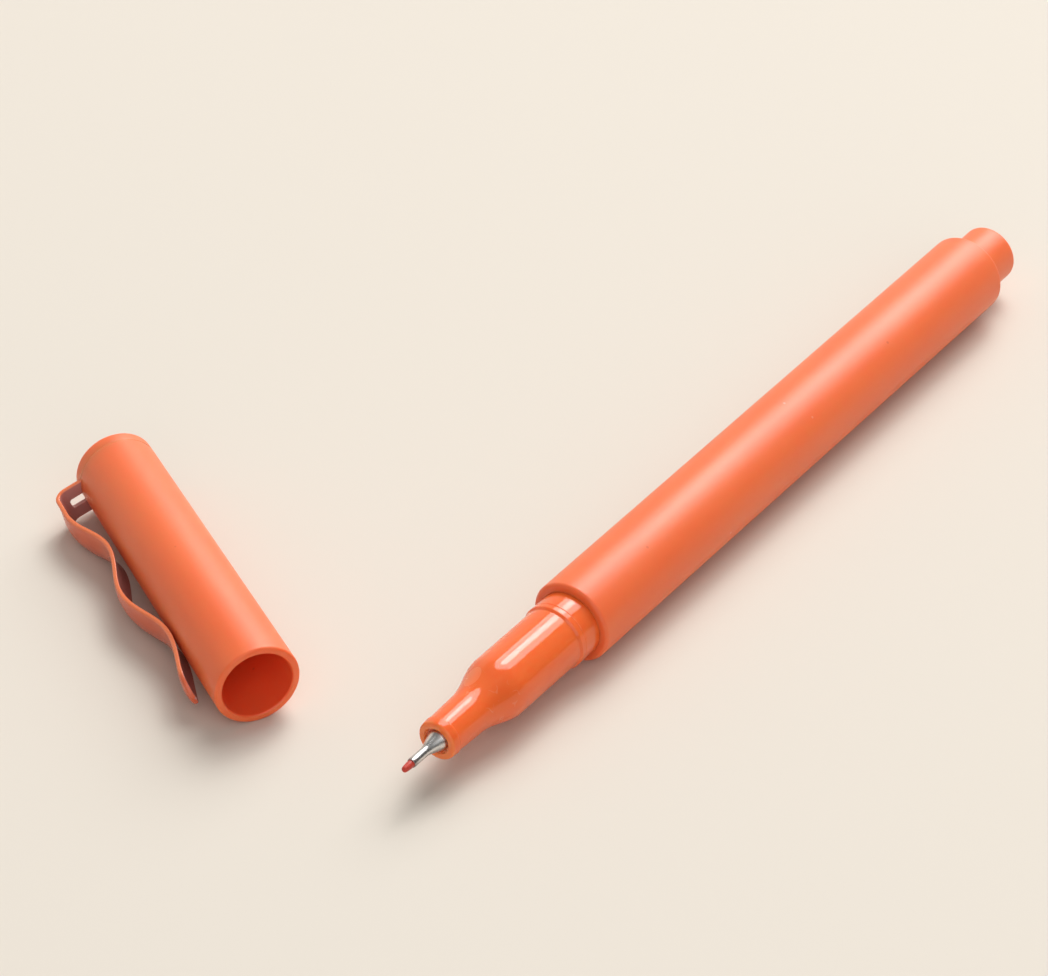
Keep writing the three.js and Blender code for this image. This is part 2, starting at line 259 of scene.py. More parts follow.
class ShapeTree(Graph):
    """A Geometry Nodes tree that takes one geometry and ends in one finished body."""

    def __init__(self, name: str, sizes: Mapping[str, tuple[str, object]]) -> None:
        """Starts the tree.

        Args:
            name: The tree's name.
            sizes: The named inputs, each with its socket type and its usual value.
        """
        super().__init__(bpy.data.node_groups.new(name, "GeometryNodeTree"))
        face = self.tree.interface
        face.new_socket(name="Geometry", in_out="OUTPUT", socket_type="NodeSocketGeometry")
        face.new_socket(name="Geometry", in_out="INPUT", socket_type="NodeSocketGeometry")
        for label, (kind, value) in sizes.items():
            socket = face.new_socket(name=label, in_out="INPUT", socket_type=kind)
            if value is not None:
                socket.default_value = value
        face.new_socket(name="Finish", in_out="INPUT", socket_type="NodeSocketMaterial")
        self._inputs = self.add("NodeGroupInput")

    def size(self, label: str) -> Wire:
        """A named input of the tree."""
        return self._inputs.other(label)

    def at(self, geometry: Wire, row: Wire, value: Wire, kind: str = "FLOAT_VECTOR") -> Wire:
        """What a field holds at one point of another geometry.

        Args:
            geometry: The geometry that is read.
            row: The point's number.
            value: The field.
            kind: The field's data type.

        Returns:
            The value at that point.
        """
        return self.add(
            "GeometryNodeSampleIndex",
            {"data_type": kind, "domain": "POINT"},
            {"Geometry": geometry, "Value": value, "Index": row},
        )

    def point_count(self, geometry: Wire) -> Wire:
        """The number of points of a mesh.

        Args:
            geometry: The mesh.

        Returns:
            The number.
        """
        return self.add(
            "GeometryNodeAttributeDomainSize", {"component": "MESH"}, {0: geometry}, "Point Count"
        )

    def finish(self, geometry: Wire, crease: float) -> None:
        """Shades a body, keeps its edges crisp, gives it its finish and ends the tree.

        Args:
            geometry: The body.
            crease: The angle in degrees above which an edge stays crisp.
        """
        smooth = self.add(
            "GeometryNodeSetShadeSmooth", {"domain": "FACE"}, {"Geometry": geometry}
        )
        angle = self.add("GeometryNodeInputMeshEdgeAngle", output="Unsigned Angle")
        crisp = self.add(
            "GeometryNodeSetShadeSmooth",
            {"domain": "EDGE"},
            {"Geometry": smooth, "Selection": angle > math.radians(crease), "Shade Smooth": False},
        )
        real = self.add("GeometryNodeRealizeInstances", {}, {"Geometry": crisp})
        dressed = self.add(
            "GeometryNodeSetMaterial", {}, {"Geometry": real, "Material": self.size("Finish")}
        )
        self.add("NodeGroupOutput", {}, {"Geometry": dressed})

    def shape(self, piece: bpy.types.Object, values: Mapping[str, object]) -> bpy.types.Object:
        """Runs the tree on an object and keeps the result as its plain mesh.

        Args:
            piece: The object, whose mesh is the tree's geometry.
            values: The value of each named input.

        Returns:
            The same object, with the finished mesh and no modifier.
        """
        modifier = piece.modifiers.new("shape", "NODES")
        modifier.node_group = self.tree
        for item in self.tree.interface.items_tree:
            if item.in_out == "INPUT" and item.name in values:
                modifier[item.identifier] = values[item.name]
        bpy.context.view_layer.update()
        graph = bpy.context.evaluated_depsgraph_get()
        mesh = bpy.data.meshes.new_from_object(
            piece.evaluated_get(graph), preserve_all_data_layers=True, depsgraph=graph
        )
        piece.modifiers.clear()
        piece.data = mesh
        return piece


# ---- where the pieces lie ------------------------------------------------------------------
@dataclass(frozen=True)
class Lie:
    """A turned body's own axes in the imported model's frame: X out, Y along its axis."""

    start: Vector
    along: Vector
    out: Vector

    def matrix(self) -> Matrix:
        """The turn and the shift from the body's own axes to the frame."""
        turn = Matrix((self.out, self.along, self.out.cross(self.along))).transposed()
        return Matrix.Translation(self.start) @ turn.to_4x4()

    def turn(self) -> Euler:
        """The turn alone, for a Mapping node."""
        return self.matrix().to_euler()


def place_and_axis(rows: Sequence[Mapping], name: str) -> tuple[Vector, Vector]:
    """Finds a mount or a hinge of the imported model.

    Args:
        rows: The record's mounts or the model's joints.
        name: The name of the one that is looked for.

    Returns:
        Its place, in metres, and its axis.
    """
    found = next(row for row in rows if row["name"] == name)
    return Vector(found["pos_m"]), Vector(found["axis"]).normalized()


# ---- meshes --------------------------------------------------------------------------------
# The share of an edge that a corner's rounding may take, beside another rounding and alone.
SHARED_EDGE = 0.48
OWN_EDGE = 0.97


def add_object(name: str, data: bpy.types.ID) -> bpy.types.Object:
    """Puts a new object with its data into the scene.

    Args:
        name: The object's name.
        data: Its mesh, light or camera.

    Returns:
        The object.
    """
    added = bpy.data.objects.new(name, data)
    bpy.context.scene.collection.objects.link(added)
    return added


def ease(share: float) -> float:
    """A smooth step from 0 to 1 that is flat at both ends."""
    return 0.5 - 0.5 * math.cos(math.pi * share)


def rounded(corners: Sequence[Corner], closed: bool = False, steps: int = 6) -> list[Spot]:
    """Rounds a profile's corners.

    Args:
        corners: The corners as (radius, along, rounding).
        closed: Whether the last corner runs back to the first.
        steps: How many pieces each rounding has.

    Returns:
        The points of the profile, with the first one again at the end of a closed one.
    """
    spots: list[Spot] = []
    count = len(corners)
    for i, (radius, along, size) in enumerate(corners):
        here = Vector((radius, along))
        at_end = not closed and i in (0, count - 1)
        if size <= 0 or at_end:
            spots.append((radius, along))
            continue
        previous, following = corners[i - 1], corners[(i + 1) % count]
        before, after = Vector(previous[:2]) - here, Vector(following[:2]) - here
        half = before.angle(after) / 2
        room = [
            arm.length * (SHARED_EDGE if beside[2] > 0 else OWN_EDGE)
            for arm, beside in ((before, previous), (after, following))
        ]
        reach = min(size / math.tan(half), *room)
        size = reach * math.tan(half)
        first, last = here + before.normalized() * reach, here + after.normalized() * reach
        middle = here + (before.normalized() + after.normalized()).normalized() * (
            size / math.sin(half)
        )
        sweep = (first - middle).angle_signed(last - middle)
        for step in range(steps + 1):
            arm = first - middle
            arm.rotate(Matrix.Rotation(-sweep * step / steps, 2))
            spots.append((middle.x + arm.x, middle.y + arm.y))
    if closed:
        spots.append(spots[0])
    return spots


def strung(name: str, spots: Sequence[Sequence[float]]) -> bpy.types.Object:
    """An object whose mesh is a string of points, in millimetres.

    Args:
        name: The object's name.
        spots: The points, with two or three numbers each.

    Returns:
        The object.
    """
    mesh = bpy.data.meshes.new(name)
    places = [(Vector(spot).to_3d() * MM)[:] for spot in spots]
    mesh.from_pydata(places, [(i, i + 1) for i in range(len(places) - 1)], [])
    return add_object(name, mesh)


def settle(piece: bpy.types.Object, lie: Lie) -> None:
    """Merges a body's doubled points, turns its faces outwards and puts it in its place.

    Args:
        piece: The object.
        lie: Where the body lies.
    """
    body = bmesh.new()
    body.from_mesh(piece.data)
    bmesh.ops.remove_doubles(body, verts=body.verts, dist=WELD)
    bmesh.ops.dissolve_degenerate(body, edges=body.edges, dist=1e-8)
    bmesh.ops.recalc_face_normals(body, faces=body.faces)
    body.to_mesh(piece.data)
    body.free()
    piece.data.transform(lie.matrix())
    piece.data.update()


@dataclass
class Lathe:
    """Turns profiles into bodies through one Geometry Nodes tree."""

    segments: int = 160
    crease: float = 40.0
    tree: ShapeTree = field(init=False)

    def __post_init__(self) -> None:
        """Builds the tree: each column of a grid is the profile, turned by one step."""
        tree = ShapeTree("turned_body", {"Segments": ("NodeSocketInt", self.segments)})
        profile, segments = tree.size("Geometry"), tree.size("Segments")
        count = tree.point_count(profile)
        grid = tree.add(
            "GeometryNodeMeshGrid", {}, {"Vertices X": segments + 1, "Vertices Y": count}
        )
        index = tree.add("GeometryNodeInputIndex")
        column = ((index + 0.5) / count).math("FLOOR")
        spot = tree.at(profile, index - column * count, tree.add("GeometryNodeInputPosition"))
        parts = tree.add("ShaderNodeSeparateXYZ", {}, {0: spot})
        radius, along = parts, parts.other(1)
        angle = column / segments * math.tau
        place = tree.vector(radius * angle.math("COSINE"), along, radius * angle.math("SINE"))
        turned = tree.add("GeometryNodeSetPosition", {}, {"Geometry": grid, "Position": place})
        merged = tree.add(
            "GeometryNodeMergeByDistance", {}, {"Geometry": turned, "Distance": WELD}
        )
        tree.finish(merged, self.crease)
        self.tree = tree

    def body(
        self, name: str, profile: Sequence[Spot], lie: Lie, finish: bpy.types.Material,
        segments: int | None = None,
    ) -> bpy.types.Object:
        """Turns one body.

        Args:
            name: The body's name.
            profile: Its profile as (radius, along), in millimetres.
            lie: Where it lies.
            finish: Its material.
            segments: How many steps it is turned in, where it isn't the usual number.

        Returns:
            The body as a plain mesh.
        """
        piece = strung(name, profile)
        self.tree.shape(piece, {"Segments": segments or self.segments, "Finish": finish})
        settle(piece, lie)
        return piece


def place_piece(
    piece: bpy.types.Object, body: Body, slot: Slot, *nodes: str
) -> bpy.types.Object:
    """Ties a piece to a body of the model and hides the nodes that it stands for.

    Args:
        piece: The piece.
        body: The body that it moves with.
        slot: The record's material slot for the piece; not used.
        nodes: The nodes that it stands for.

    Returns:
        The same piece.
    """
    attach(piece, body.value)
    if nodes:
        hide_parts(*nodes)
    report(piece, body.value)
    return piece


def report(piece: bpy.types.Object, rides_on: str) -> None:
    """Logs a finished piece."""
    LOG.info("%s: %d faces, on %s", piece.name, len(piece.data.polygons), rides_on)


# ---- finishes ------------------------------------------------------------------------------
class Axis(Enum):
    """A turned body's own axes."""

    OUT = 0
    ALONG = 1
    ACROSS = 2


class Coat:
    """A material in the making: its graph and the two places that its patterns follow.

    The place "own" runs along the piece's own axes and "here" along the frame's, in metres.
    """

    def __init__(self, name: str, lie: Lie) -> None:
        """Makes an empty material.

        Args:
            name: The material's name.
            lie: Where the piece lies.
        """
        self.material = bpy.data.materials.new(name)
        self.graph = cleared(self.material)
        self.here = self.graph.add("ShaderNodeTexCoord", output="Object")
        self.own = self.graph.add(
            "ShaderNodeMapping",
            {"vector_type": "TEXTURE"},
            {"Vector": self.here, "Location": lie.start[:], "Rotation": lie.turn()[:]},
        )

    def measure(self, axis: Axis) -> Wire:
        """The distance along one of the piece's own axes, in millimetres."""
        return self.graph.add("ShaderNodeSeparateXYZ", {}, {0: self.own}, axis.value) / MM

    def stored(self, name: str) -> Wire:
        """A value that the piece's mesh holds."""
        return self.graph.add("ShaderNodeAttribute", {"attribute_name": name}, {}, "Fac")

    def stretch(self, place: Wire, out: float, along: float) -> Wire:
        """A place with one scale across the axis and one along it, for each millimetre."""
        scale = (out / MM, along / MM, out / MM)
        return self.graph.add("ShaderNodeMapping", {}, {"Vector": place, "Scale": scale})

    def noise(self, place: Wire, out: float, along: float, detail: float = 2.0) -> Wire:
        """A Noise Texture's value.

        Args:
            place: The place that it follows.
            out: How fine it is across the axis, for each millimetre.
            along: How fine it is along the axis, for each millimetre.
            detail: How many finer layers it has.

        Returns:
            The noise, from 0 to 1.
        """
        scaled = self.stretch(place, out, along)
        return self.graph.add(
            "ShaderNodeTexNoise", {}, {"Vector": scaled, "Scale": 1.0, "Detail": detail}
        )

    def specks(self, place: Wire, cells: float, size: float, share: float) -> Wire:
        """Scattered round specks.

        Args:
            place: The place that they follow.
            cells: The number of cells in each millimetre.
            size: The specks' radius, in cells.
            share: The share of the cells that hold one.

        Returns:
            1 on a speck, and 0 off it.
        """
        scaled = self.stretch(place, cells, cells)
        cell = self.graph.add("ShaderNodeTexVoronoi", {}, {"Vector": scaled, "Scale": 1.0})
        chosen = self.graph.add("ShaderNodeSeparateColor", {}, {0: cell.other("Color")})
        return cell.between(size, size * 0.5) * (chosen > 1 - share)

    def close(
        self, plain: Mapping[str, object], base: Wire, rough: Wire, relief: Wire,
        depth: float, strength: float,
    ) -> None:
        """Joins the shader and ends the material.

        Args:
            plain: The shader's values that are the same all over.
            base: The colour.
            rough: The roughness.
            relief: The surface's relief, from 0 to 1.
            depth: The relief's depth, in millimetres.
            strength: How much of the relief shows.
        """
        bump = self.graph.add(
            "ShaderNodeBump", {}, {"Height": relief, "Distance": depth * MM, "Strength": strength}
        )
        varied = {"Base Color": base, "Roughness": rough, "Normal": bump}
        shader = self.graph.add("ShaderNodeBsdfPrincipled", {}, {**plain, **varied})
        self.graph.add("ShaderNodeOutputMaterial", {}, {"Surface": shader})


@dataclass(frozen=True)
class Finish:
    """What all finishes share: the material's name and where its piece lies."""

    name: str
    lie: Lie

    def material(self) -> bpy.types.Material:
        """Builds the material.

        Returns:
            The material.
        """
        coat = Coat(self.name, self.lie)
        self.dress(coat, coat.graph)
        return coat.material

    def dress(self, coat: Coat, graph: Graph) -> None:
        """Adds the finish's own nodes.

        Args:
            coat: The material in the making.
            graph: Its graph.
        """
        raise NotImplementedError


@dataclass(frozen=True)
class SatinShell(Finish):
    """Moulded plastic with a fine satin grain: the barrel, the tail and the cap.

    A tube's inside is painted brighter and redder within its bore, as far along as bore_end: a
    painted glow of light coming through the wall.
    """

    colour: Shade = (0.89, 0.184, 0.055)
    deep: Shade = (0.88, 0.168, 0.048)
    painted_bore_glow: Shade = (1.0, 0.135, 0.04)
    dust_colour: Shade = (0.95, 0.62, 0.45)
    pit_colour: Shade = (0.42, 0.06, 0.02)
    roughness: float = 0.41
    bore: float = 0.0
    bore_end: float = 0.0

    def dress(self, coat: Coat, graph: Graph) -> None:
        """Adds soft clouds, a drawn grain, dust, pits and the painted glow inside the bore.

        Args:
            coat: The material in the making.
            graph: Its graph.
        """
        clouds = coat.noise(coat.own, 0.25, 0.06)
        drawn = coat.noise(coat.own, 7.0, 0.15)
        grain = coat.noise(coat.own, 9.0, 9.0, 4.0)
        dust = coat.specks(coat.here, 0.33, 0.06, 0.30)
        pits = coat.specks(coat.own, 0.23, 0.05, 0.25)
        from_axis = (coat.measure(Axis.OUT) ** 2.0 + coat.measure(Axis.ACROSS) ** 2.0) ** 0.5
        # Mask of the bore's inside, where the wall is painted brighter and redder as a painted
        # glow of light coming through it.
        inside = from_axis.between(self.bore + 0.12, self.bore + 0.02)
        inside *= coat.measure(Axis.ALONG).between(self.bore_end, self.bore_end - 0.2)
        base = graph.blend(clouds.between(0.3, 0.7), self.colour, self.deep)
        # Paints the glow inside the bore.
        base = graph.blend(inside, base, self.painted_bore_glow)
        base = graph.blend(dust * 0.35, base, self.dust_colour)
        base = graph.blend(pits * 0.30, base, self.pit_colour)
        rough = self.roughness + (clouds - 0.5) * 0.10 + (grain - 0.5) * 0.08 - dust * 0.1
        relief = grain * 0.6 + drawn * 0.4 + dust * 0.5 - pits * 0.5
        coat.close({"IOR": 1.5, **GLOW}, base, rough, relief, depth=0.012, strength=0.5)


@dataclass(frozen=True)
class PolishedGrip(Finish):
    """Bright moulded plastic with faint moulding marks: the grip section.

    The mould mark is a shallow oval on the shoulder, set by its middle along and round the
    axis and by half its length and half its turn.
    """

    colour: Shade = (0.90, 0.168, 0.034)
    deep: Shade = (0.88, 0.152, 0.029)
    dust_colour: Shade = (0.96, 0.66, 0.5)
    mark_colour: Shade = (0.95, 0.28, 0.11)
    mark_rim_colour: Shade = (0.74, 0.10, 0.02)
    flow_colour: Shade = (0.95, 0.36, 0.20)
    painted_rim_glow: Shade = (1.0, 0.24, 0.055)
    mark_along: float = -15.5
    mark_turn: float = 0.44
    mark_half_length: float = 1.35
    mark_half_turn: float = 0.33
    shoulder: Spot = (-18.6, -12.9)
    shoulder_fade: float = 0.8
    thin_end: float = -23.3
    glows: bool = True

    def dress(self, coat: Coat, graph: Graph) -> None:
        """Adds clouds, smudges, ripples, dust, the mould's marks and a painted glow on the thin
        rim at the nose.

        Args:
            coat: The material in the making.
            graph: Its graph.
        """
        clouds = coat.noise(coat.own, 0.3, 0.2)
        haze = coat.noise(coat.own, 1.4, 0.9, 3.0)
        ripple = coat.noise(coat.own, 0.55, 0.28, 1.0)
        dust = coat.specks(coat.here, 0.5, 0.05, 0.22)
        mark = self._mould_mark(coat)
        rim = mark.between(0.0, 0.3) * mark.between(0.8, 0.4)
        flow = self._flow_marks(coat)
        # Painted glow: the nose's thin rim is painted brighter orange, standing in for light
        # coming through the plastic.
        thin = coat.measure(Axis.ALONG).between(self.thin_end + 0.35, self.thin_end + 0.1)
        base = graph.blend(clouds.between(0.3, 0.7), self.colour, self.deep)
        base = graph.blend(dust * 0.4, base, self.dust_colour)
        base = graph.blend(mark * 0.5, base, self.mark_colour)
        base = graph.blend(rim * 0.35, base, self.mark_rim_colour)
        base = graph.blend(flow * 0.3, base, self.flow_colour)
        base = graph.blend(thin * 0.8, base, self.painted_rim_glow)
        rough = 0.06 + haze.between(0.56, 0.72) * 0.07 + dust * 0.2 + flow * 0.2
        relief = ripple * 0.5 + mark * 0.3 + flow * 0.1 + dust * 0.05
        plain = {"IOR": 1.52, **(GLOW if self.glows else {})}
        coat.close(plain, base, rough, relief, depth=0.02, strength=0.35)

    def _mould_mark(self, coat: Coat) -> Wire:
        """The shallow oval that the mould leaves on the shoulder.

        Args:
            coat: The material in the making.

        Returns:
            1 on the oval, and 0 off it.
        """
        around = coat.measure(Axis.ACROSS).math("ARCTAN2", coat.measure(Axis.OUT))
        turn = (around - self.mark_turn) / self.mark_half_turn
        along = (coat.measure(Axis.ALONG) - self.mark_along) / self.mark_half_length
        return (along**2.0 + turn**2.0).between(1.0, 0.8)

    def _flow_marks(self, coat: Coat) -> Wire:
        """Short curved strokes where the plastic met itself on the shoulder.

        Args:
            coat: The material in the making.

        Returns:
            Up to 1 on a stroke, and 0 off it.
        """
        along = coat.measure(Axis.ALONG)
        low, high = self.shoulder
        inside = along.between(low, low + self.shoulder_fade)
        inside *= along.between(high, high - self.shoulder_fade)
        swirl = coat.noise(coat.own, 0.75, 0.55, 1.0)
        crest = (swirl - 0.5).math("ABSOLUTE").between(0.022, 0.004)
        broken = coat.noise(coat.own, 0.9, 0.9, 1.0)
        return crest * broken.between(0.5, 0.6) * inside


@dataclass(frozen=True)
class ClipLacquer(Finish):
    """Orange lacquer on sheet metal, with a painted highlight over the edges and a duller, greyer
    colour on the inward face.
    """

    colour: Shade = (0.74, 0.145, 0.06)
    deep: Shade = (0.68, 0.12, 0.05)
    inside: Shade = (0.56, 0.245, 0.215)
    painted_edge_light: Shade = (0.90, 0.20, 0.06)
    worn_colour: Shade = (0.93, 0.42, 0.24)
    half_width: float = 2.2

    def dress(self, coat: Coat, graph: Graph) -> None:
        """Adds clouds, orange peel, the painted highlight on the edges and the inward face's
        duller, greyer colour.

        Args:
            coat: The material in the making.
            graph: Its graph.
        """
        from_middle = coat.measure(Axis.ACROSS).math("ABSOLUTE")
        edge = from_middle.between(self.half_width - 0.24, self.half_width - 0.02)
        clouds = coat.noise(coat.here, 0.22, 0.22)
        peel = coat.noise(coat.here, 2.6, 2.6)
        grit = coat.noise(coat.here, 11.0, 11.0, 3.0)
        worn = edge * grit.between(0.42, 0.7)
        base = graph.blend(clouds.between(0.3, 0.7), self.colour, self.deep)
        # The inward face and the window's walls take a duller, greyer colour.
        base = graph.blend(coat.stored("inward").between(0.55, 0.95), base, self.inside)
        # Painted highlight: the edges, which face the light, are painted lighter orange.
        base = graph.blend(edge * 0.8, base, self.painted_edge_light)
        base = graph.blend(worn * 0.25, base, self.worn_colour)
        rough = 0.20 + (grit - 0.5) * 0.10 + worn * 0.06
        coat.close(
            {"IOR": 1.5}, base, rough, peel * 0.7 + grit * 0.3, depth=0.010, strength=0.4
        )


@dataclass(frozen=True)
class TurnedSteel(Finish):
    """Bright steel with the tool's fine rings, darker towards its rolled end."""

    # bright and dull are the two colours of the painted reflection streaks.
    bright: Shade = (0.72, 0.715, 0.705)
    dull: Shade = (0.47, 0.462, 0.455)
    stain_colour: Shade = (0.38, 0.35, 0.33)
    rolled_colour: Shade = (0.20, 0.15, 0.14)
    dark_from: float = -26.4
    dark_to: float = -27.4

    def dress(self, coat: Coat, graph: Graph) -> None:
        """Adds rings, painted reflection streaks, faint stains and the rolled end's shade.

        Args:
            coat: The material in the making.
            graph: Its graph.
        """
        rings = coat.noise(coat.own, 0.25, 26.0, 3.0)
        wide = coat.noise(coat.own, 0.4, 5.0)
        painted_reflection_streaks = coat.noise(coat.own, 1.9, 0.12, 1.5)
        stain = coat.noise(coat.here, 2.4, 2.4, 3.0)
        rolled = coat.measure(Axis.ALONG).between(self.dark_from, self.dark_to)
        # Painted reflections: long bright and dull streaks stand in for the surroundings reflected
        # in the steel.
        base = graph.blend(painted_reflection_streaks.between(0.42, 0.60), self.bright, self.dull)
        base = graph.blend(stain.between(0.55, 0.75) * 0.2, base, self.stain_colour)
        base = graph.blend(rolled * 0.6, base, self.rolled_colour)
        rough = 0.23 + rings * 0.08 + stain.between(0.5, 0.8) * 0.06
        coat.close(
            {"Metallic": 1.0}, base, rough, rings * 0.6 + wide * 0.4, depth=0.002, strength=0.25
        )


@dataclass(frozen=True)
class InkedFelt(Finish):
    """Fibres drawn along the axis and soaked with ink."""

    pale: Shade = (0.66, 0.055, 0.026)
    soaked: Shade = (0.52, 0.033, 0.016)
    wet_colour: Shade = (0.36, 0.02, 0.012)

    def dress(self, coat: Coat, graph: Graph) -> None:
        """Adds fibres, tufts and wet places.

        Args:
            coat: The material in the making.
            graph: Its graph.
        """
        fibres = coat.noise(coat.own, 16.0, 1.1, 4.0)
        tufts = coat.noise(coat.here, 6.0, 6.0, 3.0)
        wet = coat.noise(coat.here, 1.1, 1.1)
        base = graph.blend(fibres.between(0.35, 0.65), self.pale, self.soaked)
        base = graph.blend(wet.between(0.45, 0.75) * 0.5, base, self.wet_colour)
        rough = 0.6 - wet.between(0.4, 0.7) * 0.25
        plain = {"IOR": 1.45, "Sheen Weight": 0.15}
        coat.close(plain, base, rough, fibres * 0.7 + tufts * 0.3, depth=0.03, strength=0.7)


@dataclass(frozen=True)
class PlainLiner(Finish):
    """Unpolished moulded plastic inside the cap."""

    colour: Shade = (0.90, 0.15, 0.035)
    deep: Shade = (0.80, 0.11, 0.025)

    def dress(self, coat: Coat, graph: Graph) -> None:
        """Adds flow marks and a grain.

        Args:
            coat: The material in the making.
            graph: Its graph.
        """
        flow = coat.noise(coat.own, 0.5, 0.2, 3.0)
        grain = coat.noise(coat.own, 6.0, 6.0, 3.0)
        base = graph.blend(flow.between(0.35, 0.65), self.colour, self.deep)
        rough = 0.5 + (grain - 0.5) * 0.15
        relief = grain * 0.6 + flow * 0.4
        coat.close({"IOR": 1.5, **GLOW}, base, rough, relief, depth=0.015, strength=0.5)


@dataclass(frozen=True)
class MilkyFilm(Finish):
    """Thin wrinkled film round the ink fibres."""

    colour: Shade = (0.86, 0.80, 0.70)
    blot_colour: Shade = (0.80, 0.34, 0.20)

    def dress(self, coat: Coat, graph: Graph) -> None:
        """Adds wrinkles and blots of ink.

        Args:
            coat: The material in the making.
            graph: Its graph.
        """
        wrinkles = coat.noise(coat.own, 0.9, 0.12, 4.0)
        blots = coat.noise(coat.here, 0.3, 0.3, 3.0)
        base = graph.blend(blots.between(0.5, 0.72), self.colour, self.blot_colour)
        plain = {"IOR": 1.49, "Coat Roughness": 0.1}
        coat.close(plain, base, 0.22 + wrinkles * 0.2, wrinkles, depth=0.05, strength=0.6)


# ---- the pen -------------------------------------------------------------------------------
@dataclass
class Barrel:
    """The round barrel and the stub that closes its tail, lengths from the front rim."""

    lie: Lie
    radius: float = 4.685
    bore: float = 3.742
    length: float = 79.2
    front_rounding: float = 0.5
    rear_rounding: float = 0.75
    inner_rounding: float = 0.02
    stub_radius: float = 3.376
    stub_end: float = 84.4
    stub_rounding: float = 0.5
    plug_radius: float = 3.75
    plug_gap: float = 0.1
    plug_length: float = 8.0
    plug_wall: float = 0.85
    plug_floor: float = 1.2

    def build(self, lathe: Lathe) -> None:
        """Makes the barrel and its tail plug.

        Args:
            lathe: What turns the pieces.
        """
        shell = SatinShell("barrel_shell", self.lie).material()
        tube = rounded(
            [
                (self.bore, 0, self.inner_rounding),
                (self.radius, 0, self.front_rounding),
                (self.radius, self.length, self.rear_rounding),
                (self.bore, self.length, 0.05),
            ],
            closed=True, steps=10,
        )
        barrel = lathe.body("barrel_tube", tube, self.lie, shell)
        place_piece(barrel, Body.PEN, Slot.SHELL, "barrel")
        shoulder = self.length - self.plug_gap
        cup = self.plug_radius - self.plug_wall
        plug = rounded(
            [
                (0, shoulder - self.plug_floor, 0),
                (cup, shoulder - self.plug_floor, 0.3),
                (cup, shoulder - self.plug_length, 0.15),
                (self.plug_radius, shoulder - self.plug_length, 0.15),
                (self.plug_radius, shoulder, 0.05),
                (self.stub_radius, shoulder, 0.04),
                (self.stub_radius, self.stub_end, self.stub_rounding),
                (0, self.stub_end, 0),
            ],
            steps=8,
        )
        stub = lathe.body("tail_stub", plug, self.lie, shell)
        place_piece(stub, Body.PEN, Slot.SHELL, "tail_plug")


